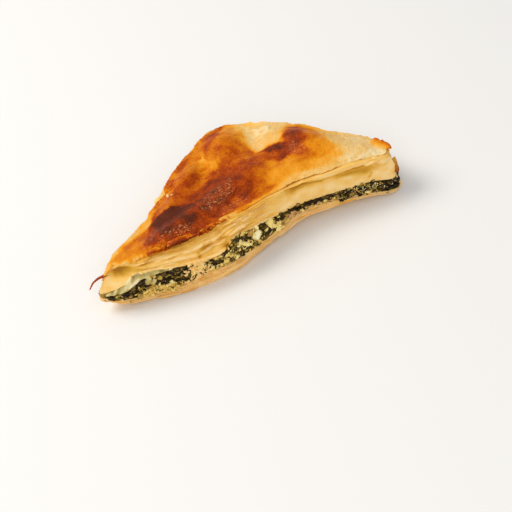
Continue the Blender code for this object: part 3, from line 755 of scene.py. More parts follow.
def fold_relief(plan):
    """Height of the folds, in millimetres: sharp on the line and sinking away on its high side."""
    relief = np.zeros(len(plan))
    wavy = plan + 0.5 * warp(plan, 2.5, 36)
    for line, rise in FOLDS:
        nearest = np.full(len(plan), np.inf)
        side = np.zeros(len(plan))
        for start, end in zip(line[:-1], line[1:]):
            run = np.subtract(end, start)
            arm = wavy - start
            t = np.clip(arm @ run / (run @ run), 0, 1)
            distance = np.linalg.norm(arm - t[:, None] * run, axis=1)
            left = np.sign(run[0] * arm[:, 1] - run[1] * arm[:, 0])
            closer = distance < nearest
            nearest = np.where(closer, distance, nearest)
            side = np.where(closer, left, side)
        high = smooth_step(nearest * side * np.sign(rise), -0.3, 0.3)
        relief += abs(rise) * high * np.exp(-nearest / 4.0)
    return relief


def crackled(plan, brown):
    """Where the crust is crackled and scuffed pale, and where its pale flecks are painted glints of the
    glaze, from 0 to 1.
    """
    crackle_and_glint = 0.45 * smooth_step(brown, 0.5, 0.8) * smooth_step(noise(plan, 7.0, 61), -0.2, 0.6)
    for *place, much in CRACKLES_AND_GLINTS:
        crackle_and_glint += much * smooth_step(np.exp(-oval(plan, *place)), 0.1, 0.6)
    return np.clip(crackle_and_glint, 0, 1)


def crumpled(plan):
    """Where thin pale leaves lie crumpled on the crust, and their ridges, 1, and grooves, down to -1."""
    much = np.zeros(len(plan))
    for *place, strength in CRUMPLES:
        much += strength * np.exp(-oval(plan, *place))
    bent = plan + 1.2 * warp(plan, 6.0, 67)
    ridges = 1 - 3.2 * np.abs(noise(bent * (0.5, 1.0), 3.4, 65)) + 0.5 * noise(plan, 1.3, 66)
    return np.clip(much, 0, 1), np.clip(ridges, -1, 1)


def crust_relief(points, distance, brown):
    """Fine relief of the crust: soft waves, folds, wrinkles, blisters and crackled dark places."""
    plan = in_plan(points)
    relief = 0.45 * rough(plan, 10.0, 41) + 0.20 * rough(plan, 3.6, 45)
    relief += fold_relief(plan)
    pale = 1 - smooth_step(brown, 0.15, 0.42)
    turn = np.radians(WRINKLE_HEADING)
    across = plan @ np.array([[np.cos(turn), -np.sin(turn)], [np.sin(turn), np.cos(turn)]])
    relief += 0.25 * pale * (1 - np.abs(noise(across * (0.3, 1.0), 1.8, 52))) ** 3
    rng = np.random.default_rng(SEED)
    for _ in range(BLISTERS):
        centre = rng.uniform((-85, -10), (90, 88))
        size = rng.uniform(0.9, 2.6)
        rise = rng.uniform(0.12, 0.42)
        relief += rise * np.exp(-(oval(plan, *centre, rng.uniform(0, 180), size, size * 0.7) ** 1.6))
    relief += crackled(plan, brown) * (0.20 * noise(plan, 1.8, 63) + 0.10 * noise(plan, 1.0, 69))
    relief += 0.07 * noise(plan, 0.9, 64)
    much, ridges = crumpled(plan)
    relief += 0.45 * much * ridges
    return relief * smooth_step(distance / MM, 0.0, 2.0) * MM


def hanging(plan):
    """How far the crust's edge hangs down on the left of the long face, in metres."""
    front = 1 - smooth_step(plan[:, 1], *HANGING_END)
    return HANGING * stretch(plan[:, 0], *HANGING_STRETCH) * front


def paled(plan, distance):
    """How much of its brown the crust keeps near the tip's front edge, where it fades into the leaves."""
    front = smooth_step(-plan[:, 1] - 0.1 * plan[:, 0], -3.5, -1.0)
    band = bell(distance, (3.4 + 1.2 * noise(plan, 5.0, 87)) * MM)
    return 1 - 0.6 * stretch(plan[:, 0], *TIP_STRETCH) * front * band


def ragged(rim, seed, size=1.0):
    """A torn edge: how far each column of a leaf stands out, in metres."""
    plan = np.column_stack([in_plan(rim.foot), np.full(rim.count, seed * 3.7)])
    edge = 0.55 * noise(plan, 8.0, seed) + 0.3 * noise(plan, 2.6, seed + 1) + 0.2 * noise(plan, 1.0, seed + 2)
    bite = smooth_step(noise(plan, 5.0, seed + 3), 0.35, 0.6) * (0.7 + 0.5 * noise(plan, 1.6, seed + 4))
    return (edge - 1.1 * bite) * size * MM


def nick_depth(rim):
    """How deep the outline is nicked at each column, in metres."""
    plan = in_plan(rim.foot + rim.lean)
    depth = np.zeros(rim.count)
    for x, y, radius, deep in NICKS:
        depth += deep * np.exp(-oval(plan, x, y, 0, radius, radius))
    return depth * MM


def crust_edge(rim, left):
    """How far the crust's torn edge stands out, more uneven on the left of the long face."""
    set_back = np.interp(rim.x, SET_BACK_AT, SET_BACK) + 0.4 * noise(in_plan(rim.foot), 5.0, 75)
    return ragged(rim, 70, 0.7) + left * ragged(rim, 77, 0.7) - rim.front * set_back * MM - nick_depth(rim)


def crust_brown(plan, distance, brown):
    """How brown the crust looks with its pale crumpled leaves, its darker edge and the dark hump."""
    much, ridges = crumpled(plan)
    edge_band = bell(distance, 2.6 * MM) * smooth_step(brown, 0.3, 0.5)
    brown = brown * paled(plan, distance)
    brown = brown - much * (0.06 * ridges + 0.02) * (1 + 2.5 * brown)
    brown = brown - 0.16 * edge_band * (0.5 + noise(plan, 1.3, 84))
    return brown + (0.06 * noise(plan, 4.5, 86) * smooth_step(brown, 0.2, 0.4) + hump_edge(plan))


def make_crust(rim, coarse):
    """The browned top sheet, with a torn edge of its own thickness."""
    left = rim.front * smooth_step(-rim.x, -10.0, 2.0)
    ring = rim.foot + rim.lean + rim.outward * crust_edge(rim, left)[:, None]
    points, triangles = make_sheet(ring, CRUST_SPACING)
    height, distance = crust_height(coarse, points)
    plan = in_plan(points)
    brown = brownness(points)
    height += crust_relief(points, distance, brown)
    lift = 0.35 * noise(plan, 14.0, 81) + 0.3 * noise(plan, 4.0, 82) + 0.1
    height += lift * MM * bell(distance, 1.6 * MM)
    height -= hanging(plan) * bell(distance, 2.2 * MM)
    crackle_and_glint = crackled(plan, brown)
    brown = crust_brown(plan, distance, brown)
    top = np.column_stack([points, height])
    count = rim.count
    thick = EDGE_THICKNESS + 0.5 * left * smooth_step(-rim.x, 10.0, 25.0)
    thick = (thick + 0.15 * noise(plan[:count], 6.0, 83)) * MM
    side = top[:count].copy()
    side[:, 2] -= thick
    side[:, :2] -= rim.outward * 0.12 * MM
    tuck = top[:count].copy()
    tuck[:, :2] += rim.to_spine * np.minimum(TUCK_REACH, 0.4 * rim.room)[:, None]
    tuck[:, 2] -= TUCK_DROP
    under, under_triangles = make_sheet(tuck[:, :2], CORE_SPACING)
    under_height = np.concatenate([tuck[:, 2], crust_height(coarse, under[count:])[0] - UNDER_DROP])
    below = np.column_stack([under, under_height])
    first = len(top)
    faces = [
        triangles,
        bridge(count, first, 0),
        bridge(count, first + count, first),
        under_triangles[:, ::-1] + first + count,
    ]
    brown_edge = brown[:count] - 0.12 + 0.16 * left * smooth_step(brown[:count], 0.3, 0.6)
    values = {
        "brown": np.concatenate([brown, np.clip(brown_edge, 0.05, 0.84), np.full(len(below), 0.12)]),
        "crackle_and_glint": np.concatenate([crackle_and_glint, np.zeros(count + len(below))]),
    }
    return new_mesh("crust", np.vstack([top, side, below]), faces, values)


# The leaves, and the cores behind them

def pocket_push(rim, height):
    """How far the hollows in the long face push leaves apart, and how far they set leaves back."""
    shift = np.zeros_like(height)
    depth = np.zeros_like(height)
    for x, z, half_length, half_height, deep in POCKETS:
        up = (height / MM - z) / half_height
        near = np.exp(-(((rim.x - x) / half_length) ** 4)) * rim.front
        shift += near * half_height * MM * 0.8 * np.tanh(1.6 * up) * np.exp(-(up**2) / 4)
        depth += near * deep * MM * np.exp(-((up - 0.4) ** 2) / 0.8)
    return shift, depth


def baked_together(rim):
    """From 0, leaves that part, to 1, leaves that baked into one smooth face."""
    right_front = rim.front * smooth_step(rim.x, 10.0, 24.0)
    tip = smooth_step(-rim.x, 60.0, 70.0) * smooth_step(-rim.y, -16.0, -7.0)
    patches = smooth_step(noise(in_plan(rim.foot), 24.0, 100), -0.1, 0.5) * 0.7
    return np.maximum(np.maximum(right_front, 0.9 * tip), patches * (1 - rim.front))


def face_tones(rim, height):
    """How much more toasted and more oily the long face is at each column and height, part of it painted
    shade under the overhang, in a crease, in the pockets and above the onion.
    """
    toast = np.zeros(rim.count)
    stain = np.zeros(rim.count)
    place = np.column_stack([rim.x, height / MM])
    place += 0.5 * warp(place, (2.5, 2.0), 101) * (1, 0.6)
    for x, z, half_length, half_height, more_toast_and_shade, more_oil_and_shade in FACE_TONES:
        near = rim.front * np.exp(-oval(place, x, z, 0, half_length, half_height))
        toast += more_toast_and_shade * near
        stain += more_oil_and_shade * near
    return toast, stain


def leaf_lines(rim, level, edge_out, depth, lean):
    """Where a leaf's four lines run in plan: its back, its middle, near its edge and its edge."""
    base = rim.foot + (rim.lean * level[:, None] if lean else 0)
    back = np.minimum(LEAF_REACH, 0.5 * rim.room) + 0.5 * depth
    lines = [base + rim.to_spine * back[:, None]]
    return lines + [base + rim.outward * (edge_out - inset * MM)[:, None] for inset in LEAF_INSETS]


def make_leaves(rim, name, low, high, lean, leaves, seed):
    """Thin leaves that run round the piece, each with a torn, uneven edge."""
    sections, faces, toasts, stains = [], [], [], []
    sunk = LEAF_SINK * baked_together(rim) if lean else 0
    for index, (share, out, thick, size, toast, stain) in enumerate(leaves):
        key = seed + 10 * index
        plan = np.column_stack([in_plan(rim.foot), np.full(rim.count, key * 2.3)])
        level = share + 0.045 * noise(plan, 20.0, key) + 0.025 * noise(plan, 9.0, key + 9)
        height = low + (high - low) * level
        shift, depth = pocket_push(rim, height) if lean else (0, 0)
        height = height + shift
        edge_out = out * MM + ragged(rim, key + 5, size) - 1.6 * depth - sunk
        edge_out += 0.5 * MM * noise(plan, 16.0, key + 3)
        edge_out -= 1.1 * MM * smooth_step(noise(plan, 13.0, key + 2), 0.0, 0.4)
        if lean:
            edge_out = edge_out - nick_depth(rim) * share
        droop = (0.3 * noise(plan, 6.0, key + 6) - 0.1) * MM
        thickness = thick * MM * (1 + 0.3 * noise(plan, 3.0, key + 7))
        more_toast_and_shade, more_oil_and_shade = face_tones(rim, height)
        edge_toast = toast + more_toast_and_shade + 0.10 * noise(plan, 4.0, key + 8)
        edge_stain = stain + more_oil_and_shade + 0.25 * noise(plan, 5.0, key + 4)
        lines = leaf_lines(rim, level, edge_out, depth, lean)
        for line, up, hang, extra in LEAF_SECTION:
            section_height = height + up * thickness + hang * droop
            sections.append(np.column_stack([lines[line], np.maximum(section_height, 0.0)]))
            toasts.append(np.clip(edge_toast + extra, 0, 1))
            stains.append(np.clip(edge_stain, 0, 1))
        first = index * len(LEAF_SECTION) * rim.count
        faces.append(grid_faces(len(LEAF_SECTION), rim.count, first))
        faces.append(bridge(rim.count, first + (len(LEAF_SECTION) - 1) * rim.count, first))
    values = {"toast": np.concatenate(toasts), "stain": np.concatenate(stains)}
    return new_mesh(name, np.vstack(sections), faces, values)


def underside(rim, points, edge_height):
    """A floor that follows its edge near the rim and lies level further in."""
    fade = 1 - smooth_step(distance_to(rim.foot[THINNED], points), 0.0, LIFT_REACH)
    level = np.percentile(edge_height, 20)
    return level + (spread(rim.foot[THINNED], edge_height[THINNED], points) - level) * fade


def make_core(rim, name, low, high, lean, rows, surface):
    """A closed body whose wall follows surface(rim, share, height), which gives offset and values."""
    rings = []
    values = {}
    for row in range(rows):
        share = row / (rows - 1)
        height = low + (high - low) * share
        offset, shift, tones = surface(rim, share, height)
        base = rim.foot + (rim.lean * share if lean else 0)
        rings.append(np.column_stack([base + rim.outward * offset[:, None], height + shift]))
        for key, tone in tones.items():
            values.setdefault(key, []).append(tone)
    faces = [grid_faces(rows, rim.count)]
    vertices = [np.vstack(rings)]
    total = rows * rim.count
    for ring_row in (0, rows - 1):
        ring = rings[ring_row]
        reach = TOP_CAP_REACH if lean and ring_row else CAP_REACH
        inner = ring[:, :2] + rim.to_spine * np.minimum(reach, 0.25 * rim.room)[:, None]
        points, triangles = make_sheet(inner, CORE_SPACING)
        if ring_row == 0 and not lean:
            flat = underside(rim, points[rim.count:], ring[:, 2])
        else:
            flat = spread(inner[THINNED], ring[THINNED, 2], points[rim.count:])
            flat = flat - TOP_CAP_DROP * lean * (ring_row > 0)
        vertices.append(np.column_stack([points, np.concatenate([ring[:, 2], flat])]))
        sides = bridge(rim.count, ring_row * rim.count, total)
        turned = slice(None, None, -1 if ring_row == 0 else 1)
        faces += [triangles[:, turned] + total, sides[:, turned]]
        for tones in values.values():
            tones.append(np.full(len(points), np.mean(tones[ring_row])))
        total += len(points)
    colours = {key: np.concatenate(tones) for key, tones in values.items()}
    return new_mesh(name, np.vstack(vertices), faces, colours)


def wall_place(rim, height, stretch):
    """Places on the wall for noise: the foot's plan and the height, stretched."""
    return np.column_stack([in_plan(rim.foot), height / MM * stretch])


def upper_surface(rim, share, height):
    """The wall of leaves above the filling: grooved where they part, smooth where they baked together. Its
    colour also carries painted shade: a shadow line under the overhang, darker gaps where the leaves part and
    darker hollows.
    """
    plan = wall_place(rim, height, 2.2)
    foot = plan[:, :2]
    shift, depth = pocket_push(rim, height)
    together = baked_together(rim)
    sides = (0.7 + 0.1 * noise(foot, 20.0, 89)) * (1 - rim.front)
    crack = np.interp(rim.x, OVERHANG_AT, OVERHANG) * rim.front + sides
    crack += 0.02 * noise(foot, 3.0, 90) + 0.015 * noise(foot, 1.2, 94)
    above = smooth_step(share - crack, -0.018, 0.018)
    below = (1 - above) * np.exp(-np.maximum(crack - share, 0) / 0.16)
    groove = np.sin(share * 2 * np.pi * GROOVES + 2.5 * noise(foot, 12.0, 91))
    split = together * smooth_step(np.abs(rim.x), 20.0, 30.0)
    offset = -0.6 * (1 - together) + split * (0.4 * above - 1.1 * below)
    offset += 0.13 * groove * (1 - 0.75 * together)
    step = smooth_step(rim.x, 25.6, 26.4) * np.exp(-np.maximum(rim.x - 26.0, 0) / 3.0) * rim.front
    offset -= 0.9 * step * (1 - above) * smooth_step(share, 0.5, 0.75)
    offset += 0.24 * rough(plan, 6.0, 92) + 0.08 * noise(plan, 1.1, 95)
    more_toast_and_shade, more_oil_and_shade = face_tones(rim, height)
    # The deeper a hollow, the more toasted and oily the wall is painted: painted shade in the hollows.
    hollow = np.clip(depth / (3.0 * MM), 0, 1)
    # Where the leaves part, the core shows only in the gaps between them. Its extra toast there is painted
    # shade in those gaps.
    toast = 0.24 - 0.16 * together + 0.10 * share**3 + 0.1 * noise(plan, 5.0, 96) + more_toast_and_shade
    # Painted shadow line: darker toast just below where the upper leaves overhang.
    line = bell(share - crack + 0.09, 0.022) * (0.7 + 0.5 * noise(foot, 3.0, 98))
    toast += 0.22 * hollow + 0.42 * split * line + 0.06 * together * noise(plan, 7.0, 99)
    stain = 0.4 * smooth_step(0.12 - share + 0.08 * noise(plan, 3.0, 97), 0.0, 0.2)
    stain += more_oil_and_shade + 0.3 * hollow
    return offset * MM - depth, shift, {"toast": np.clip(toast, 0, 1), "stain": np.clip(stain, 0, 1)}


def lower_surface(rim, share, height):
    """The wall of leaves under the filling, dull and crumbly, oily near the filling."""
    plan = wall_place(rim, height, 2.2)
    offset = 0.25 * rough(plan, 4.0, 110) + 0.10 * noise(plan, 1.0, 113)
    offset -= 0.6 * (1 - share) ** 4 + 0.9
    moist = rim.front * stretch(rim.x, *MOIST_STRETCH)
    toast = 0.03 + 0.08 * (1 - share) ** 3 + 0.08 * noise(plan, 4.0, 115) + 0.10 * moist
    stain = 0.4 * smooth_step(share - 0.45 + 0.3 * noise(plan, 4.0, 116), 0.0, 0.7)
    return offset * MM, np.zeros(rim.count), {"toast": np.clip(toast, 0, 1), "stain": stain}


# The filling

def filling_thickness(rim, columns):
    """How thick the filling is at columns, in metres."""
    return rim.heights[columns, FILLING_TOP] - rim.heights[columns, FILLING_BOTTOM]


def filling_face(rim, columns, share):
    """Places on the filling's cut face, as the x and height of the tables."""
    height = rim.heights[columns, FILLING_BOTTOM] + filling_thickness(rim, columns) * share
    return np.column_stack([rim.x[columns], height / MM])


def filling_place(rim, column, share, depth):
    """A place on the filling's cut face, and the ways along and outward there."""
    outward = np.append(rim.outward[column], 0.0)
    along = np.append(rim.along[column], 0.0)
    height = rim.heights[column, FILLING_BOTTOM] + filling_thickness(rim, column) * share
    return np.append(rim.foot[column], height) - outward * depth, along, outward


def filling_share(rim, column, z):
    """How far up the filling a height in millimetres is."""
    return (z * MM - rim.heights[column, FILLING_BOTTOM]) / filling_thickness(rim, column)


def filling_shade(rim, column):
    """How much paler the filling is at a column."""
    return rim.front[column] * np.interp(rim.x[column], FILLING_SHADE_AT, FILLING_SHADE)


def past_tip(rim, columns):
    """0 at the end of the thin tip, where pastry covers the filling, and 1 past it."""
    return smooth_step(rim.x[columns] + 0.5 * np.abs(rim.y[columns] - 2.0), -84.5, -81.5)


def mushy(rim):
    """Where the filling of the long face is soft, tan pulp with few crumbs."""
    return rim.front * stretch(rim.x, *SOFT_STRETCH)


def darkness(rim, columns, share):
    """How much dark spinach shows on the cut face, from 0, pale crumbs, to 1, leaves only."""
    face = filling_face(rim, columns, share)
    face += 0.6 * warp(face, (3.0, 2.0), 103) * (1, 0.6)
    place = in_plan(rim.foot[columns])
    sides = 0.68 + 0.3 * noise(place, 14.0, 117) - 0.35 * smooth_step(0.25 - share, 0.0, 0.2)
    front = rim.front[columns]
    patches = 0.3 * noise(np.column_stack([place, share * 12]), 3.0, 118)
    dark = blend(face, FILLING_TONES, 0.15, 2.5) * front + sides * (1 - front) + patches
    return np.clip(dark, 0, 1) * past_tip(rim, columns)


def filling_surface(rim, share, height):
    """The cut face of the filling: moist lumps with dark hollows."""
    plan = wall_place(rim, height, 1.3)
    columns = np.arange(rim.count)
    offset = 0.45 * rough(plan, 3.4, 120) + 0.3 * noise(plan, 1.3, 123) - 0.7 * past_tip(rim, columns)
    pale = 1 - darkness(rim, columns, np.full(rim.count, share))
    return offset * MM, np.zeros(rim.count), {"pale": pale * (0.75 + 0.25 * mushy(rim))}


def on_onion(rim, columns, shares):
    """Which places of the long face are on the onion."""
    face = filling_face(rim, columns, shares)
    at, bottom, _ = np.array(ONION_BAND).T
    covered = (face[:, 1] > np.interp(face[:, 0], at, bottom)) & (face[:, 0] > at[0]) & (face[:, 0] < at[-1])
    for *place, _ in ONION_PIECES:
        covered |= oval(face, *place) < 1.2
    return covered & (rim.front[columns] > 0.5)


def filling_picks(rim, rng, count, dark):
    """Columns and shares of the cut face, picked where the filling is dark, or where it is pale."""
    columns = rng.integers(rim.count, size=count * 4)
    shares = rng.uniform(0.03, 0.97, count * 4)
    amount = darkness(rim, columns, shares)
    odds = (amount if dark else 1 - amount) * past_tip(rim, columns) * ~on_onion(rim, columns, shares)
    picked = np.nonzero(odds**1.5 > rng.uniform(size=len(odds)))[0][:count]
    return [(int(columns[i]), shares[i]) for i in picked]


def face_out(vertices, along, up, outward):
    """Turn a shape that lies in its own x and y to lie in the wall, its own z pointing out."""
    return vertices[:, :1] * along + vertices[:, 1:2] * up + vertices[:, 2:] * outward


def leaf_bit(rng, length, width, thick, crumple):
    """A small crumpled leaf: a closed thin wavy shape lying flat in its own x and y."""
    u, v = np.meshgrid(np.linspace(-0.5, 0.5, 6), np.linspace(-0.5, 0.5, 4), indexing="ij")
    narrow = np.sqrt(np.maximum(1 - (1.85 * u) ** 2, 0.08))
    x = u * length + rng.normal(0, 0.05, u.shape) * length
    y = v * width * narrow + rng.normal(0, 0.06, u.shape) * width
    phase = rng.uniform(0, 2 * np.pi, 3)
    z = crumple * (np.sin(7 * u + phase[0]) + np.sin(6 * v + phase[1]) + 0.6 * np.sin(9 * (u + v) + phase[2]))
    return closed_grid(np.stack([x, y, z + thick / 2], axis=2), np.stack([x, y, z - thick / 2], axis=2))


def make_spinach(rim):
    """Chopped, crumpled spinach pressed into the cut face all round."""
    rng = np.random.default_rng(SEED + 1)
    bits = Bits("spinach")
    for column, share in filling_picks(rim, rng, LARGE_SPINACH, True):
        place, along, outward = filling_place(rim, column, share, rng.uniform(0.0, 0.9) * MM)
        length = rng.uniform(*LARGE_LENGTHS) * MM
        width = min(rng.uniform(*LARGE_WIDTHS) * MM, filling_thickness(rim, column) * 0.45)
        crumple = rng.uniform(*LARGE_CRUMPLES) * MM
        vertices, faces = leaf_bit(rng, length, width, LARGE_THICKNESS * MM, crumple)
        turn = Matrix.Rotation(rng.normal(0, 0.45), 3, "Z") @ Matrix.Rotation(rng.normal(0, 0.6), 3, "X")
        vertices = vertices @ np.array(turn).T
        tone = rng.uniform() ** 1.9 + 1.2 * filling_shade(rim, column)
        bits.add(face_out(vertices, along, UP, outward) + place, faces, tone)
    soft = mushy(rim)
    for column, share in filling_picks(rim, rng, SMALL_SPINACH, False):
        if soft[column] > 0.5:
            continue
        place, along, outward = filling_place(rim, column, share, rng.uniform(-0.7, -0.1) * MM)
        size = rng.uniform(*SMALL_SIZES) * MM
        vertices, faces = leaf_bit(rng, *size, SMALL_THICKNESS * MM, SMALL_CRUMPLE * MM)
        vertices = vertices @ np.array(Matrix.Rotation(rng.uniform(-1.2, 1.2), 3, "Z")).T
        bits.add(face_out(vertices, along, UP, outward) + place, faces, rng.uniform() ** 0.8)
    return bits.make()


def make_cheese(rim):
    """Crumbled cheese and oily crumbs in the filling, with a few large white pieces."""
    rng = np.random.default_rng(SEED + 2)
    small, medium, large = unit_ball(1), unit_ball(2), unit_ball(3)
    bits = Bits("cheese")
    soft = mushy(rim)
    for column, share in filling_picks(rim, rng, CHEESE_CRUMBS, False):
        if rng.uniform() < 0.7 * soft[column]:
            continue
        shade = filling_shade(rim, column)
        size = min(0.30 + 1.3 * rng.uniform() ** 3, 0.2 * filling_thickness(rim, column) / MM) * MM
        size *= 1 + 2.0 * min(shade, 0.0)
        place = filling_place(rim, column, share, 0.6 * size + rng.uniform(-0.3, 0.5) * MM)[0]
        shape, faces = crumb(rng, medium, size * rng.uniform(0.5, 1.7, 3), 0.35)
        bits.add(shape + place, faces, min(0.05 + 0.90 * rng.uniform() ** 1.1 + shade, 0.85))
    for _ in range(RIGHT_CRUMBS):
        column = front_column(rim, rng.uniform(*RIGHT_CRUMBS_BETWEEN))
        place = filling_place(rim, column, rng.uniform(0.15, 0.9), rng.uniform(-0.3, 0.1) * MM)[0]
        shape, faces = crumb(rng, small, rng.uniform((0.2, 0.2, 0.3), (0.5, 0.4, 0.9)) * MM, 0.2)
        bits.add(shape + place, faces, rng.uniform(0.6, 1.0))
    for _ in range(YELLOW_CRUMBS):
        column = front_column(rim, rng.normal(*YELLOW_CRUMBS_AT))
        share = filling_share(rim, column, rng.uniform(*YELLOW_CRUMB_HEIGHTS))
        place = filling_place(rim, column, share, rng.uniform(-0.6, 0.1) * MM)[0]
        shape, faces = crumb(rng, small, rng.uniform(0.4, 1.1, 3) * MM, 0.3)
        bits.add(shape + place, faces, rng.uniform(0.1, 0.7))
    for x, z, size, tone in CHEESE_PIECES:
        column = front_column(rim, x)
        place = filling_place(rim, column, filling_share(rim, column, z), 0.5 * MM)[0]
        shape, faces = crumb(rng, large, size * rng.uniform(0.7, 1.3, 3) * MM, 0.32)
        bits.add(shape + place, faces, tone)
    return bits.make()


def onion_band(rim):
    """Points, faces and tones of the long band of glassy onion under the pastry near the tip."""
    at, bottom, top = np.array(ONION_BAND).T
    xs = np.linspace(at[0], at[-1], BAND_POINTS[0])
    columns = np.array([front_column(rim, x) for x in xs])
    across = np.linspace(-1, 1, BAND_POINTS[1])
    low = np.interp(xs, at, bottom) + 0.25 * noise(xs[:, None] * (1.0, 0.0), 2.5, 131)
    high = np.interp(xs, at, top) + 0.25 * noise(xs[:, None] * (1.0, 0.0), 2.0, 132)
    height = (low + high)[:, None] / 2 + (high - low)[:, None] / 2 * across
    flat = np.column_stack([np.repeat(xs, len(across)), height.ravel()])
    slanted = flat @ np.array([[0.9, 0.2], [-0.45, 0.25]])
    streaks = noise(slanted, 1.5, 133).reshape(height.shape)
    bulge = (1.1 + 0.35 * streaks) * np.sqrt(1 - 0.9 * across**2) - 0.9
    foot = np.column_stack([rim.foot[columns], np.zeros(len(columns))])
    outward = np.column_stack([rim.outward[columns], np.zeros(len(columns))])
    shape = foot[:, None] + bulge[..., None] * MM * outward[:, None] + height[..., None] * MM * UP
    vertices, faces = closed_grid(shape, shape - BAND_THICKNESS * MM * outward[:, None])
    # The pale streaks are the onion's glassy layers, partly painted highlights on them.
    tone = 0.40 + 0.42 * streaks + 0.36 * noise(flat, 5.0, 134).reshape(height.shape) - 0.12 * across
    return vertices, faces[:, ::-1], np.tile(tone.ravel(), 2)


def make_onion(rim):
    """Pale, glassy onion between the spinach and the pastry: a band at the tip and pieces all round."""
    rng = np.random.default_rng(SEED + 3)
    points, triangles = unit_ball(4)
    bits = Bits("onion")
    vertices, faces, tone = onion_band(rim)
    bits.add(vertices, np.vstack([faces[:, :3], faces[:, [0, 2, 3]]]), tone)
    spots = []
    for x, z, *rest in ONION_PIECES:
        column = front_column(rim, x)
        spots.append((column, filling_share(rim, column, z), *rest))
    side_columns = np.nonzero((rim.front < 0.1) & (rim.x > SIDE_ONIONS_FROM))[0]
    for column in rng.choice(side_columns, SIDE_ONIONS, replace=False):
        size = rng.uniform((3.0, 0.9), (6.0, 1.6))
        share = rng.uniform(0.55, 0.85)
        spots.append((int(column), share, rng.uniform(-15, 15), *size, rng.uniform(0.2, 0.6)))
    for column, share, tilt, half_length, half_height, tone in spots:
        place, along, outward = filling_place(rim, column, share, 0.9 * MM)
        lie = np.radians(tilt)
        along, up = np.cos(lie) * along + np.sin(lie) * UP, np.cos(lie) * UP - np.sin(lie) * along
        wave = 0.10 * noise(points * (half_length, 1.0, 1.0), 2.0, column)
        shape = points * (1 + wave[:, None]) * np.array([half_length, half_height, ONION_THICKNESS]) * MM
        shade = 0.3 * noise(points * (half_length, 0.8, 0.5), 1.3, column + 1) - 0.12 * points[:, 1]
        bits.add(face_out(shape, along, up, outward) + place, triangles, tone + shade)
    return bits.make(80)


# Flakes, chips, the shred and crumbs

def make_flake(rng, middle, size, heading, slope_along, slope_across, arch, rows=26, columns=14):
    """A thin wavy leaf of pastry with a torn outline."""
    length, width, thick = (value * MM for value in size)
    u, v = np.meshgrid(np.linspace(-0.5, 0.5, rows), np.linspace(-0.5, 0.5, columns), indexing="ij")
    key = int(rng.integers(1000))
    flat = np.stack([u.ravel() * size[0], v.ravel() * size[1]], axis=1)
    lumps = [noise(flat, lump, key + i).reshape(u.shape) for i, lump in enumerate((3.0, 1.7, 3.4, 1.2))]
    edge = np.maximum(np.abs(2 * u), np.abs(2 * v)) ** 2
    x = u * length * (1 + edge * (0.16 * lumps[0] + 0.10 * lumps[1]))
    y = v * width * (1 - 0.5 * np.abs(2 * u) ** 4) * (1 + edge * (0.20 * lumps[1] + 0.14 * lumps[0]))
    bend = arch * MM * (1 - 4 * u * u) + (0.30 * lumps[2] + 0.12 * lumps[3]) * min(size[1] / 4, 1) * MM
    thin = thick * (1 - 0.55 * edge)
    turn, pitch, roll = np.radians([heading, slope_along, slope_across])
    way = np.array([np.cos(turn) * np.cos(pitch), np.sin(turn) * np.cos(pitch), np.sin(pitch)])
    level = np.array([-np.sin(turn), np.cos(turn), 0.0])
    across = level * np.cos(roll) + np.cross(way, level) * np.sin(roll)
    normal = np.cross(way, across)
    centre = np.array(middle, float) * MM
    centre[:2] -= PIECE_CENTRE
    flat_shape = centre + x[..., None] * way + y[..., None] * across
    top, bottom = (flat_shape + (bend + half * thin)[..., None] * normal for half in (0.5, -0.5))
    vertices, faces = closed_grid(top, bottom)
    shade = 0.10 * edge + 0.10 * lumps[0] - 0.05 - 0.45 * v
    return vertices, faces, np.tile(shade.ravel(), 2)


def make_flakes(name, table, key):
    """The flakes of one table as one piece."""
    rng = np.random.default_rng(SEED + 5)
    bits = Bits(name)
    for middle, size, heading, slope_along, slope_across, arch, tone in table:
        vertices, faces, shade = make_flake(rng, middle, size, heading, slope_along, slope_across, arch)
        bits.add(vertices, faces, np.clip(tone + shade, 0, 1))
    return bits.make(80, key)


def make_chips(rim, coarse):
    """Small torn chips of crust along the broken edge of the long face."""
    rng = np.random.default_rng(SEED + 6)
    bits = Bits("chips")
    low, high = CHIPS_BETWEEN
    columns = np.nonzero((rim.front > 0.6) & (rim.x < high) & (rim.x > low))[0]
    spots = [in_plan(rim.foot[c] + rim.lean[c] - rim.outward[c] * rng.uniform(-0.2, 2.5) * MM)
             for c in rng.choice(columns, CHIPS)]
    spots = np.array(spots)
    points = spots * MM - PIECE_CENTRE
    height = crust_height(coarse, points)[0] / MM
    brown = brownness(points)
    for spot, level, tone in zip(spots, height, brown):
        middle = (*spot, level + rng.uniform(-0.15, 0.2))
        size = (rng.uniform(1.2, 3.6), rng.uniform(0.8, 1.8), 0.25)
        heading, slope_along, slope_across = rng.normal((15, 0, 0), (35, 8, 14))
        vertices, faces, shade = make_flake(rng, middle, size, heading, slope_along, slope_across, 0.15, 8, 6)
        bits.add(vertices, faces, np.clip(tone + shade - rng.uniform(0.0, 0.3), 0.3, 0.8))
    return bits.make(60, "brown")


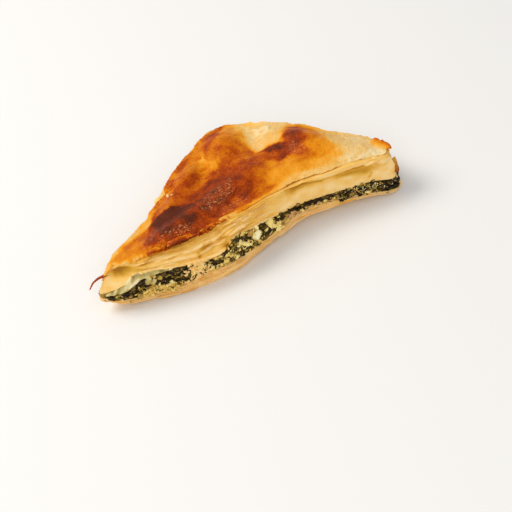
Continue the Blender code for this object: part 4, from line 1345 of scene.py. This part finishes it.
def make_shred():
    """The thin curled shred of pastry that stands off the tip."""
    knots = np.array(SHRED_POINTS)
    t = np.linspace(0, len(knots) - 1, SHRED_STEPS)
    run = np.stack([np.interp(t, np.arange(len(knots)), knots[:, axis]) for axis in range(3)], axis=1)
    for _ in range(SHRED_SMOOTHING):
        run[1:-1] = (run[:-2] + 2 * run[1:-1] + run[2:]) / 4
    run = run * MM - np.append(PIECE_CENTRE, 0.0)
    way = np.gradient(run, axis=0)
    way /= np.linalg.norm(way, axis=1)[:, None]
    wide = np.cross(way, UP)
    wide /= np.linalg.norm(wide, axis=1)[:, None]
    up = np.cross(wide, way)
    place = np.linspace(0, 1, len(run))
    half = np.interp(place, (0, 1), SHRED_HALF_WIDTHS) * MM
    across = np.linspace(-1, 1, 5)
    curl = 0.25 * MM * across**2
    flat = run[:, None] + across[None, :, None] * half[:, None, None] * wide[:, None]
    flat = flat + (curl[None, :, None] - 0.3 * MM) * up[:, None]
    thick = np.interp(place, (0, 1), SHRED_THICKNESSES)[:, None, None] * MM * up[:, None]
    vertices, faces = closed_grid(flat + thick / 2, flat - thick / 2)
    bits = Bits("shred")
    bits.add(vertices, faces, 0.72)
    return bits.make(60, "brown")


def make_crumbs(rim):
    """Pastry crumbs: a few at the nick of the left side, more where the filling is pinched thin."""
    rng = np.random.default_rng(SEED + 7)
    ball = unit_ball(2)
    bits = Bits("crumbs")
    for x, y, z, size, tone in LOOSE_CRUMBS:
        shape, faces = crumb(rng, ball, size * rng.uniform(0.7, 1.2, 3) * MM, 0.2)
        bits.add(shape + np.array([x, y, z]) * MM - np.append(PIECE_CENTRE, 0.0), faces, tone)
    for _ in range(PINCHED_CRUMBS):
        column = front_column(rim, rng.normal(*PINCHED_CRUMBS_AT))
        place = filling_place(rim, column, rng.uniform(0.0, 1.1), rng.uniform(0.2, 0.9) * MM)[0]
        shape, faces = crumb(rng, ball, rng.uniform(0.6, 1.7, 3) * MM, 0.2)
        bits.add(shape + place, faces, rng.uniform(0.0, 0.14))
    return bits.make(50, "toast")


# Materials

def srgb(r, g, b):
    """A colour given by its screen values from 0 to 255, as the shader needs it."""
    values = np.array([r, g, b]) / 255
    linear = np.where(values <= 0.04045, values / 12.92, ((values + 0.055) / 1.055) ** 2.4)
    return (*linear, 1.0)


class Paint:
    """A material and the nodes that colour it. Each method adds a node and gives its output."""

    def __init__(self, name):
        self.material = bpy.data.materials.new(name)
        self.material.use_nodes = True
        self.nodes = self.material.node_tree.nodes
        self.shader = self.nodes["Principled BSDF"]
        self.place = self.add("TexCoord", {})["Object"]

    def put(self, node, inputs):
        """Set inputs of a node to fixed values, or link them to outputs of other nodes."""
        for name, value in inputs.items():
            if isinstance(value, bpy.types.NodeSocket):
                self.material.node_tree.links.new(value, node.inputs[name])
            else:
                node.inputs[name].default_value = value

    def add(self, kind, inputs, **settings):
        """The outputs of a new node with these settings and inputs."""
        node = self.nodes.new("ShaderNode" + kind)
        for name, value in settings.items():
            setattr(node, name, value)
        self.put(node, inputs)
        return node.outputs

    def value(self, name):
        """A named value of the mesh."""
        return self.add("Attribute", {}, attribute_name=name)["Fac"]

    def noise(self, scale, detail=4.0, roughness=0.55, place=None):
        """A noise texture in the object's own space, scale in lumps a metre."""
        inputs = {"Vector": place or self.place, "Scale": scale, "Detail": detail, "Roughness": roughness}
        return self.add("TexNoise", inputs)["Fac"]

    def scaled(self, socket, factor, offset):
        """A socket's value times a factor plus an offset."""
        return self.add("Math", {0: socket, 1: factor, 2: offset}, operation="MULTIPLY_ADD")[0]

    def joined(self, operation, first, second, clamp=True):
        """Two sockets put together by a math operation and, if clamped, kept between 0 and 1."""
        return self.add("Math", {0: first, 1: second}, operation=operation, use_clamp=clamp)[0]

    def varied(self, tone, *parts):
        """A tone with noises added to it, each given with how far it moves the tone up and down."""
        for socket, amount in parts:
            tone = self.joined("ADD", self.scaled(socket, 2 * amount, -amount), tone)
        return tone

    def ramp(self, tone, stops):
        """A colour ramp with stops of a place and a screen colour, read at a tone."""
        node = self.nodes.new("ShaderNodeValToRGB")
        elements = node.color_ramp.elements
        elements[0].position, elements[1].position = stops[0][0], stops[-1][0]
        for place, *_ in stops[1:-1]:
            elements.new(place)
        for element, (_, *colour) in zip(elements, stops):
            element.color = srgb(*colour)
        self.put(node, {"Fac": tone})
        return node.outputs["Color"]

    def mixed(self, colour, other, share):
        """A colour with a share of another, fixed screen colour."""
        return self.add("Mix", {"A": colour, "B": srgb(*other), "Factor": share}, data_type="RGBA")["Result"]

    def finish(self, colour, roughness, specular, bump, subsurface=None):
        """The material, with its fine relief from a socket, a strength and a distance."""
        height, strength, distance = bump
        normal = self.add("Bump", {"Height": height, "Strength": strength, "Distance": distance})["Normal"]
        inputs = {"Base Color": colour, "Normal": normal}
        inputs.update({"Roughness": roughness, "Specular IOR Level": specular})
        if subsurface:
            inputs["Subsurface Weight"], inputs["Subsurface Radius"] = subsurface
        self.put(self.shader, inputs)
        return self.material


def crust_material():
    """Glazed crust: cream to gold, amber, red brown and purple brown as it was baked, with pale crackle
    flecks that are partly painted glints.
    """
    paint = Paint("crust")
    broad = paint.noise(160, 5)
    fine = paint.noise(800, 6, 0.65)
    speck = paint.noise(2400, 2)
    brown = paint.value("brown")
    lumps = paint.scaled(paint.joined("ADD", broad, fine, False), 0.5, 0.0)
    lumps = paint.scaled(paint.varied(lumps, (speck, 0.15)), 1.0, -0.5)
    lively = paint.joined("MULTIPLY", lumps, paint.scaled(brown, 1.4, 0.2), False)
    colour = paint.ramp(paint.joined("ADD", brown, lively), CRUST_COLOURS)
    # Pale crackle flecks; at the strongest crackled places they are painted glints of the glaze.
    turn = (0.0, 0.0, np.radians(FLECK_HEADING))
    streaks = {"Vector": paint.place, "Rotation": turn, "Scale": (0.5, 1.0, 1.0)}
    flecks = paint.scaled(paint.noise(1500, 5, 0.7, paint.add("Mapping", streaks)["Vector"]), 9.0, -4.7)
    pale_flecks_and_glints = paint.joined("ADD", flecks, paint.scaled(paint.value("crackle_and_glint"), 1.3, -1.3))
    colour = paint.mixed(colour, FLECK_AND_GLINT_COLOUR, paint.joined("MULTIPLY", pale_flecks_and_glints, paint.scaled(fine, 0.4, 0.5)))
    roughness = paint.scaled(fine, 0.25, 0.25)
    return paint.finish(colour, roughness, 0.06, (fine, 0.6, 0.0006), (0.05, (0.002, 0.001, 0.0005)))


def leaf_material():
    """Baked pastry leaves: cream, toasted at the edges and oily where they touch the filling. The toast and
    oil values also carry painted shade on the long face and on one pale flake.
    """
    paint = Paint("pastry")
    broad = paint.noise(240, 4)
    fine = paint.noise(1300, 5, 0.6)
    tone = paint.varied(paint.value("toast"), (broad, 0.12), (fine, 0.08))
    oily = paint.joined("MULTIPLY", paint.value("stain"), fine)
    colour = paint.mixed(paint.ramp(tone, LEAF_COLOURS), OIL_AND_SHADE_COLOUR, oily)
    return paint.finish(colour, 0.55, 0.15, (fine, 0.4, 0.0003), (0.10, (0.0015, 0.0009, 0.0004)))


def plain_material(name, key, lumps, amount, stops, roughness, specular, relief, subsurface=None):
    """A material whose colour follows one named value of the mesh, moved up and down by one noise."""
    paint = Paint(name)
    height = paint.noise(*lumps)
    colour = paint.ramp(paint.varied(paint.value(key), (height, amount)), stops)
    return paint.finish(colour, roughness, specular, (height, *relief), subsurface)


def filling_material():
    """Cooked pulp behind the leaves and crumbs: nearly black green to pale oily yellow."""
    lumps = (700, 4, 0.6)
    return plain_material("filling", "pale", lumps, 0.25, FILLING_COLOURS, 0.45, 0.1, (0.5, 0.0004))


def spinach_material():
    """Wet dark leaves, most of them nearly black and some olive."""
    return plain_material("spinach", "tone", (1500, 3), 0.15, SPINACH_COLOURS, 0.35, 0.12, (0.5, 0.0003))


def cheese_material():
    """Crumbled cheese: white to pale yellow, stained green gold by oil."""
    subsurface = (0.15, (0.0015, 0.0012, 0.0008))
    lumps = (1800, 4)
    return plain_material("cheese", "tone", lumps, 0.2, CHEESE_COLOURS, 0.45, 0.3, (0.4, 0.0003), subsurface)


def onion_material():
    """Cooked onion: glassy pale grey green."""
    subsurface = (0.4, (0.003, 0.003, 0.002))
    lumps = (420, 3)
    return plain_material("onion", "tone", lumps, 0.35, ONION_COLOURS, 0.2, 0.5, (0.3, 0.0003), subsurface)


# The camera, the studio and the whole

def make_camera():
    """The camera, at the photograph's place and angle."""
    data = bpy.data.cameras.new("camera")
    data.sensor_width = SENSOR_WIDTH
    data.lens = SENSOR_WIDTH * FOCAL_PIXELS / PICTURE_WIDTH
    right, up = Vector(CAMERA_RIGHT).normalized(), Vector(CAMERA_UP)
    back = right.cross(up).normalized()
    turn = Matrix((right, back.cross(right), back)).transposed().to_4x4()
    place = np.array(CAMERA_PLACE) * MM - np.append(PIECE_CENTRE, 0.0)
    item = new_object("camera", data)
    item.matrix_world = Matrix.Translation(place) @ turn
    bpy.context.scene.camera = item


def make_light(name, place, target, size, power, colour):
    """A soft square light that points at a place."""
    data = bpy.data.lights.new(name, "AREA")
    data.size = size
    data.energy = power
    data.color = colour
    item = new_object(name, data)
    item.location = place
    item.rotation_euler = (Vector(target) - Vector(place)).to_track_quat("-Z", "Y").to_euler()


def make_studio():
    """A pale floor and plain soft light."""
    floor_mesh = bpy.data.meshes.new("floor")
    corners = [(x * FLOOR_HALF, y * FLOOR_HALF, 0) for x, y in ((-1, -1), (1, -1), (1, 1), (-1, 1))]
    floor_mesh.from_pydata(corners, [], [(0, 1, 2, 3)])
    floor = new_object("floor", floor_mesh)
    paint = Paint("floor")
    paint.put(paint.shader, {"Base Color": srgb(*FLOOR_COLOUR), "Roughness": 0.6, "Specular IOR Level": 0.2})
    floor_mesh.materials.append(paint.material)
    world = bpy.data.worlds.new("world")
    world.use_nodes = True
    background = world.node_tree.nodes["Background"].inputs
    background["Color"].default_value = SKY_COLOUR
    background["Strength"].default_value = SKY_STRENGTH
    bpy.context.scene.world = world
    for light in LIGHTS:
        make_light(*light)
    bpy.context.scene.view_settings.view_transform = "Standard"


def dress(item, material):
    """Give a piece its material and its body."""
    item.data.materials.clear()
    item.data.materials.append(material)
    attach(item, BODY)
    return item


def main():
    """Build every piece, the studio and the camera."""
    rim = Rim(COLUMNS)
    coarse = Rim(COARSE_COLUMNS)
    brown, pale = crust_material(), leaf_material()
    crust = dress(make_crust(rim, coarse), brown)
    dress(make_flakes("crust_flakes", CRUST_FLAKES, "brown"), brown)
    dress(make_chips(rim, coarse), brown)
    dress(make_shred(), brown)
    low = rim.heights[:, FILLING_TOP]
    high = rim.heights[:, CRUST_EDGE] - 0.5 * MM - 0.8 * hanging(in_plan(rim.foot + rim.lean))
    dress(make_core(rim, "upper_core", low, high, True, UPPER_ROWS, upper_surface), pale)
    dress(make_leaves(rim, "upper_leaves", low, high, True, UPPER_LEAVES, 200), pale)
    dress(make_leaves(rim, "toasted_leaves", low, high, True, TOASTED_LEAVES, 400), pale)
    dress(make_flakes("pale_flakes", PALE_FLAKES, "toast"), pale)
    dress(make_crumbs(rim), pale)
    low, high = rim.heights[:, FILLING_BOTTOM], rim.heights[:, FILLING_TOP]
    filling = make_core(rim, "filling", low, high, False, FILLING_ROWS, filling_surface)
    dress(filling, filling_material())
    dress(make_spinach(rim), spinach_material())
    dress(make_cheese(rim), cheese_material())
    dress(make_onion(rim), onion_material())
    low, high = rim.heights[:, UNDERSIDE], rim.heights[:, FILLING_BOTTOM]
    lower = make_core(rim, "lower_core", low, high, False, LOWER_ROWS, lower_surface)
    dress(lower, pale)
    dress(make_leaves(rim, "lower_leaves", low, high, False, LOWER_LEAVES, 600), pale)
    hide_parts("upper_pastry")
    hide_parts("spinach_filling")
    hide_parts("lower_pastry")
    make_studio()
    make_camera()


main()
